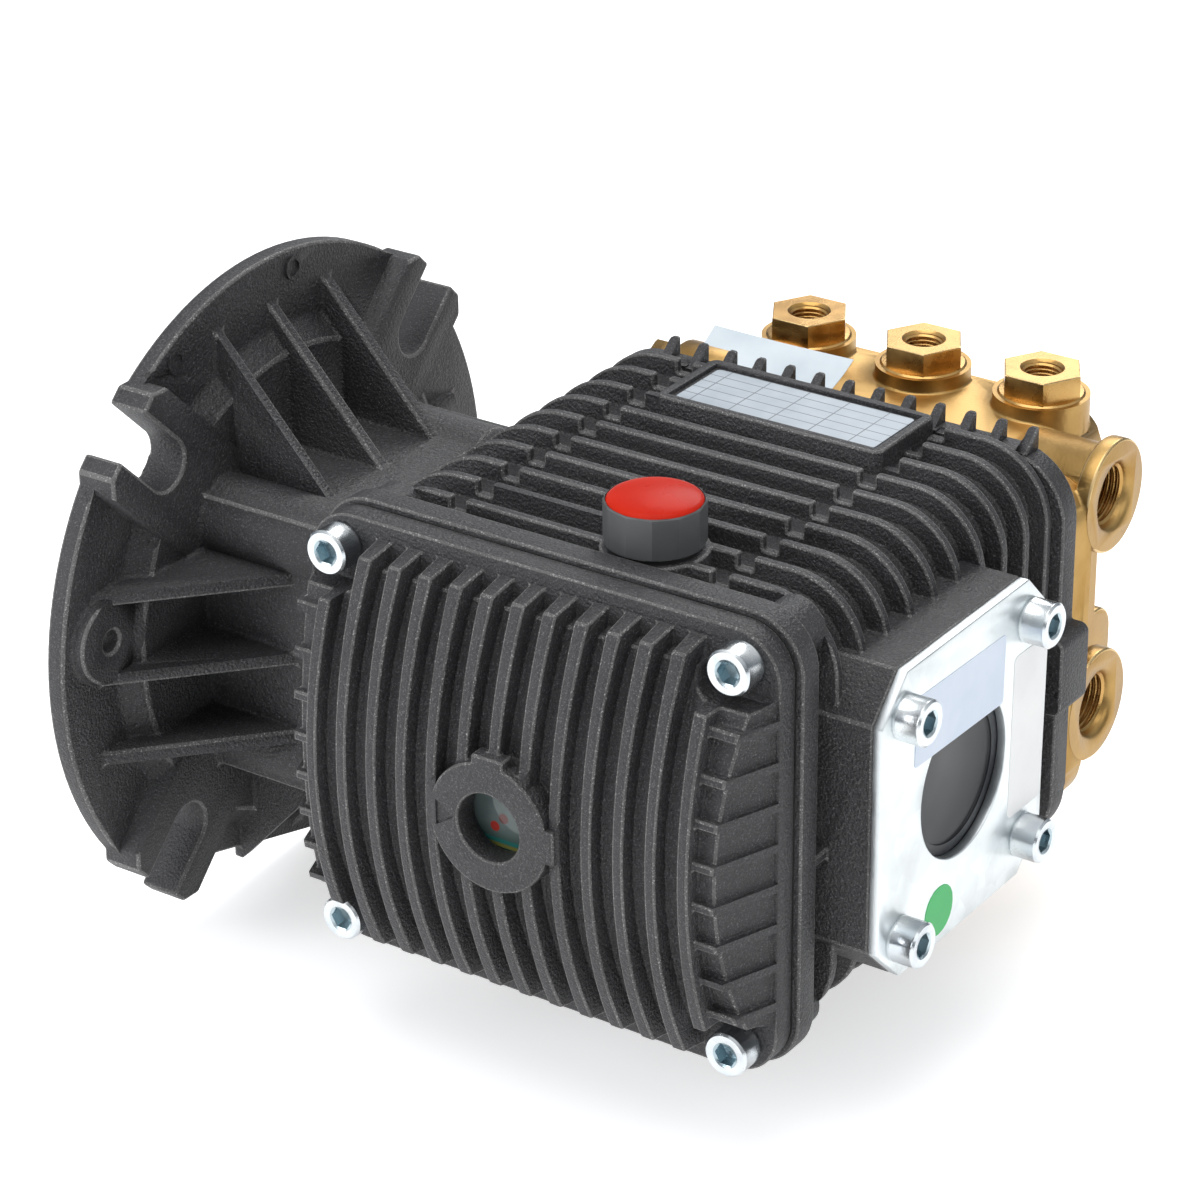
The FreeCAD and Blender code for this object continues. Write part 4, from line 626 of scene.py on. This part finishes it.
# The bearing side: a galvanised plate with a black end cap behind its hole, and three
# blank stickers: a pale one across the hole's top, a white strip and a green dot.
spangle_skin, where, result = new_group("spangle_skin", ("Spangle", "Streak"))
cells = new_node(spangle_skin, "ShaderNodeTexVoronoi", {"Vector": where, "Scale": 190.0})
shade = new_node(spangle_skin, "ShaderNodeSeparateColor", {0: cells.outputs["Color"]})
clouds = noise(spangle_skin, where, 55.0, 5.0, 0.3, 0.7)
both = new_node(spangle_skin, "ShaderNodeMath", {0: shade.outputs[0], 1: 0.35, 2: clouds.outputs[0]},
                operation="MULTIPLY_ADD")
scratch = noise(spangle_skin, where, 1100.0, 4.0, 0.3, 0.7)
for name, source in (("Spangle", both), ("Streak", scratch)):
    spangle_skin.links.new(source.outputs[0], result.inputs[name])
galvanised = skinned("galvanised_sheet", spangle_skin, (0.62, 0.66, 0.67, 1), (0.84, 0.88, 0.89, 1),
                     (0.26, 0.42), 0.10, 1.0)
cap_black = skinned("end_cap_black", moulded_skin, (0.010, 0.011, 0.014, 1), (0.016, 0.017, 0.021, 1),
                    (0.34, 0.46), 0.10, 0.0)
softened("bearing_plate", "bearing_cover_plate", 0.0004, 0.0, [galvanised], "galvanised_plate")
softened("bearing_end_cap", "bearing_cap", 0.0005, 0.0003, [cap_black], "black_rubber")


def rounded_sheet(size_x, size_y, corner, thickness):
    """A flat sticker or plate with rounded corners, lying on Z = 0."""
    bm = bmesh.new()
    bmesh.ops.create_grid(bm, x_segments=1, y_segments=1, size=0.5)
    for vert in bm.verts:
        vert.co.x *= size_x
        vert.co.y *= size_y
    bmesh.ops.bevel(bm, geom=list(bm.verts), offset=corner, offset_type="OFFSET", segments=5, profile=0.5,
                    affect="VERTICES", clamp_overlap=True)
    grown = bmesh.ops.extrude_face_region(bm, geom=list(bm.faces))["geom"]
    top = [item for item in grown if isinstance(item, bmesh.types.BMVert)]
    bmesh.ops.translate(bm, verts=top, vec=(0, 0, thickness))
    rim = [edge for edge in bm.edges if all(vert in top for vert in edge.verts)]
    bmesh.ops.bevel(bm, geom=rim, offset=thickness * 0.3, offset_type="OFFSET", segments=1, profile=0.5,
                    affect="EDGES", clamp_overlap=True)
    bmesh.ops.recalc_face_normals(bm, faces=bm.faces)
    return bm


def sticker(name, first, second, rough):
    return skinned(name, moulded_skin, first, second, rough, 0.05, 0.0)


def on_plate(bm, y, z, turn):
    """Stands a sheet on the plate's face, its X along the frame's Y."""
    side = Matrix(((0, 0, 1, plate_face_x), (1, 0, 0, y), (0, 1, 0, z), (0, 0, 0, 1)))
    bmesh.ops.transform(bm, matrix=side @ Matrix.Rotation(math.radians(turn), 4, "Z"), verts=bm.verts)
    return bm


sticker_thickness = 0.00018
for name, size, corner, y, z, turn, colours in (
        ("pale_sticker", (0.0475, 0.0208), 0.0012, -0.0035, 0.0248, -1.5,
         ((0.60, 0.68, 0.80, 1), (0.70, 0.76, 0.86, 1))),
        ("white_strip", (0.0186, 0.0500), 0.0022, 0.0348, -0.0003, -1.0,
         ((0.80, 0.80, 0.80, 1), (0.88, 0.88, 0.87, 1))),
        ("green_dot", (0.0150, 0.0150), 0.0072, -0.0120, -0.0358, 0.0,
         ((0.03, 0.42, 0.10, 1), (0.05, 0.50, 0.14, 1)))):
    bm = on_plate(rounded_sheet(size[0], size[1], corner, sticker_thickness), y, z, turn)
    show(name, bm, [sticker(name, colours[0], colours[1], (0.35, 0.5))], "pump_body", "galvanised_plate")


# The nameplate in its cast frame on top: brushed bluish metal with a blank printed table.
def nameplate_material(name, column, row):
    material, tree, shader = new_material(name)
    where = new_node(tree, "ShaderNodeTexCoord").outputs["Object"]
    skin = new_node(tree, "ShaderNodeGroup", node_tree=metal_skin)
    lines = new_node(tree, "ShaderNodeTexBrick",
                     {"Vector": where, "Scale": 1.0, "Mortar Size": 0.00022, "Mortar Smooth": 0.3,
                      "Brick Width": column, "Row Height": row}, offset=0.0)
    sheet = mixed(tree, skin.outputs[0], (0.29, 0.33, 0.37, 1), (0.38, 0.42, 0.46, 1))
    printed = mixed(tree, lines.outputs["Fac"], sheet, (0.12, 0.13, 0.15, 1))
    tree.links.new(printed, shader.inputs["Base Color"])
    gloss = new_node(tree, "ShaderNodeMapRange", {"Value": skin.outputs[0], "To Min": 0.30, "To Max": 0.42})
    tree.links.new(gloss.outputs[0], shader.inputs["Roughness"])
    shader.inputs["Metallic"].default_value = 0.25
    return material


nameplate_x, nameplate_y = 0.0660, 0.0235
bm = rounded_sheet(nameplate_x, nameplate_y, 0.0014, 0.0003)
bmesh.ops.translate(bm, verts=bm.verts, vec=(middle, 0.0585, 0.0648))
table_metal = nameplate_material("nameplate_metal", nameplate_x / 5, nameplate_y / 5)
show("nameplate", bm, [table_metal], "pump_body", "galvanised_plate")


# The brass head: a forged block with golden, slightly wavy faces and darker hollows, its
# threaded ports, the hexagon caps over the valves, and the plugs.
def brass_metal(name, first, second, rough, bump, scale):
    return skinned(name, metal_skin, first, second, rough, bump, 1.0, scale)


forged_brass = brass_metal("forged_brass", (0.36, 0.21, 0.065, 1), (0.52, 0.335, 0.125, 1),
                           (0.30, 0.44), 0.30, 0.6)
edge_brass = brass_metal("edge_brass", (0.66, 0.45, 0.20, 1), (0.76, 0.55, 0.27, 1),
                         (0.22, 0.34), 0.15, 1.0)
turned_brass = brass_metal("turned_brass", (0.47, 0.27, 0.085, 1), (0.64, 0.40, 0.15, 1),
                           (0.20, 0.34), 0.15, 1.2)
softened("manifold", "brass_head", 0.0007, 0.0008, [forged_brass, edge_brass], "brass")
softened("gallery_plugs", "brass_plugs", 0.0004, 0.0003, [turned_brass, edge_brass], "brass_cap")
softened("inlet_valve_caps", "lower_caps", 0.0003, 0.0, [turned_brass, edge_brass], "brass_cap")

valve_y = 0.1317
nose_radius = 0.0075
body_radius = 0.0110
collar_radius = 0.01292
hex_corner = 0.0127
hex_flats = 0.0220
hex_foot = 0.0536
hex_top = 0.0606
bore_radius = 0.0057
bore_floor = 0.0460
nose = [(0.0280, 0.0072, 0), (0.0283, nose_radius, 0), (0.0360, nose_radius, 0), (0.0360, 0.0108, 0),
        (0.0363, body_radius, 0)]
groove = [(0.0465, body_radius, 0), (0.0465, 0.0092, 0), (0.0485, 0.0092, 0), (0.0485, body_radius, 0),
          (0.0515, body_radius, 0)]
collar = [(0.0515, 0.0127, 0), (0.0517, collar_radius, 0), (0.0530, collar_radius, 0), (0.0535, 0.0124, 0)]
hexagon = [(hex_foot, hex_corner, hex_flats), (0.0602, hex_corner, hex_flats),
           (0.0605, 0.01255, hex_flats - 0.0002), (hex_top, 0.0123, hex_flats - 0.0006)]
bore = [(hex_top, 0.0066, 0), (hex_top - 0.0002, 0.0063, 0), (0.0597, 0.0058, 0),
        (bore_floor + 0.0006, bore_radius, 0), (bore_floor, 0.0008, 0)]
upper_cap = stacked(nose + groove + collar + hexagon + bore, 72)
for face in upper_cap.faces:
    centre = face.calc_center_median()
    if hex_top - 0.00055 < centre.z < hex_top + 0.0002 and centre.xy.length > 0.0105:
        face.material_index = 1
cap_places = [((x, valve_y, 0), (0, 0, 1)) for x in cylinder_x]
show("upper_caps", placed(upper_cap, cap_places), [turned_brass, edge_brass], "pump_body", "brass_cap",
     "outlet_valve_caps", sharp=24.0)


def thread_ridge(bm, start, along, turns, pitch, root, crest):
    """One helical ridge inside a threaded hole, running inwards from its mouth."""
    foot = pitch * 0.46
    flat_crest = foot * 0.22
    base = [(root, -foot), (root, foot), (crest, flat_crest), (crest, -flat_crest)]
    direction = Vector(along)
    side = direction.orthogonal().normalized()
    corners = [bm.verts.new(Vector(start) + side * reach + direction * (level + pitch))
               for reach, level in base]
    profile = bm.faces.new(corners)
    steps = 40
    bmesh.ops.spin(bm, geom=[profile], cent=start, axis=direction, dvec=direction * pitch / steps,
                   angle=2 * math.pi * turns, steps=steps * turns, use_duplicate=False)


port_mouth_x = 0.2248
port_pitch = 0.001814
gauge_pitch = 0.001337
bm = bmesh.new()
for y, z in ((0.107, 0.0384), (0.102, -0.0267)):
    thread_ridge(bm, (port_mouth_x, y, z), (-1, 0, 0), 7, port_pitch, 0.0094, 0.0085)
for x in cylinder_x:
    thread_ridge(bm, (x, valve_y, hex_top), (0, 0, -1), 8, gauge_pitch, 0.0058, 0.0052)
bmesh.ops.recalc_face_normals(bm, faces=bm.faces)
show("port_threads", bm, [turned_brass], "pump_body", "brass")


# The blank foil label that leans on the brass head in front of the left valve column.
foil = skinned("foil_label", moulded_skin, (0.56, 0.63, 0.68, 1), (0.68, 0.74, 0.78, 1),
               (0.3, 0.42), 0.04, 0.0)
foil_corner = Vector((0.0835, 0.0975, 0.04865))
foil_width, foil_spread = 0.0475, 0.0015
foil_depth, foil_wave = 0.0180, 0.0006
foil_lean, foil_curl = 0.0075, 1.6
bm = bmesh.new()
bmesh.ops.create_grid(bm, x_segments=16, y_segments=8, size=0.5)
for vert in bm.verts:
    across, up = vert.co.x + 0.5, vert.co.y + 0.5
    vert.co = foil_corner + Vector((across * (foil_width + foil_spread * up),
                                    foil_depth * up - foil_wave * math.sin(math.pi * across),
                                    foil_lean * up ** foil_curl))
bmesh.ops.solidify(bm, geom=list(bm.faces), thickness=sticker_thickness)
bmesh.ops.recalc_face_normals(bm, faces=bm.faces)
show("foil_label", bm, [foil], "pump_body", "galvanised_plate")


# What the housing covers keeps its CAD shape and gets a finish: the crank train, bearings,
# plungers, seals, valves and springs, and the small washers, gaskets and rings.
finishes = {"zinc_steel": zinc, "brass": forged_brass, "brass_cap": turned_brass}
for name, group, first, second, rough, bump, metallic in (
        ("ground_steel", metal_skin, (0.52, 0.53, 0.54), (0.66, 0.67, 0.68), (0.18, 0.30), 0.10, 1.0),
        ("bearing_steel", metal_skin, (0.58, 0.59, 0.60), (0.72, 0.73, 0.74), (0.12, 0.22), 0.05, 1.0),
        ("forged_steel", metal_skin, (0.22, 0.22, 0.23), (0.36, 0.36, 0.37), (0.30, 0.48), 0.30, 1.0),
        ("rod_aluminium", metal_skin, (0.54, 0.55, 0.56), (0.68, 0.68, 0.69), (0.34, 0.5), 0.35, 1.0),
        ("white_ceramic", moulded_skin, (0.82, 0.81, 0.78), (0.88, 0.87, 0.85), (0.10, 0.16), 0.02, 0.0),
        ("seal_green", moulded_skin, (0.02, 0.12, 0.07), (0.03, 0.17, 0.10), (0.40, 0.55), 0.15, 0.0),
        ("packing_fabric", moulded_skin, (0.10, 0.075, 0.05), (0.16, 0.12, 0.08), (0.7, 0.85), 0.8, 0.0),
        ("spring_steel", metal_skin, (0.60, 0.61, 0.63), (0.74, 0.75, 0.76), (0.16, 0.26), 0.08, 1.0),
        ("valve_plastic", moulded_skin, (0.02, 0.02, 0.022), (0.035, 0.035, 0.038), (0.4, 0.5), 0.1, 0.0),
        ("black_rubber", moulded_skin, (0.012, 0.012, 0.012), (0.022, 0.022, 0.022), (0.45, 0.6), 0.2, 0.0)):
    finishes[name] = skinned(name, group, (*first, 1), (*second, 1), rough, bump, metallic)
for node in nodes.values():
    if not node.hide_render:
        first = node.data.materials[0].name.split(".")[0]
        for place in node.material_slots:
            place.material = finishes[first]
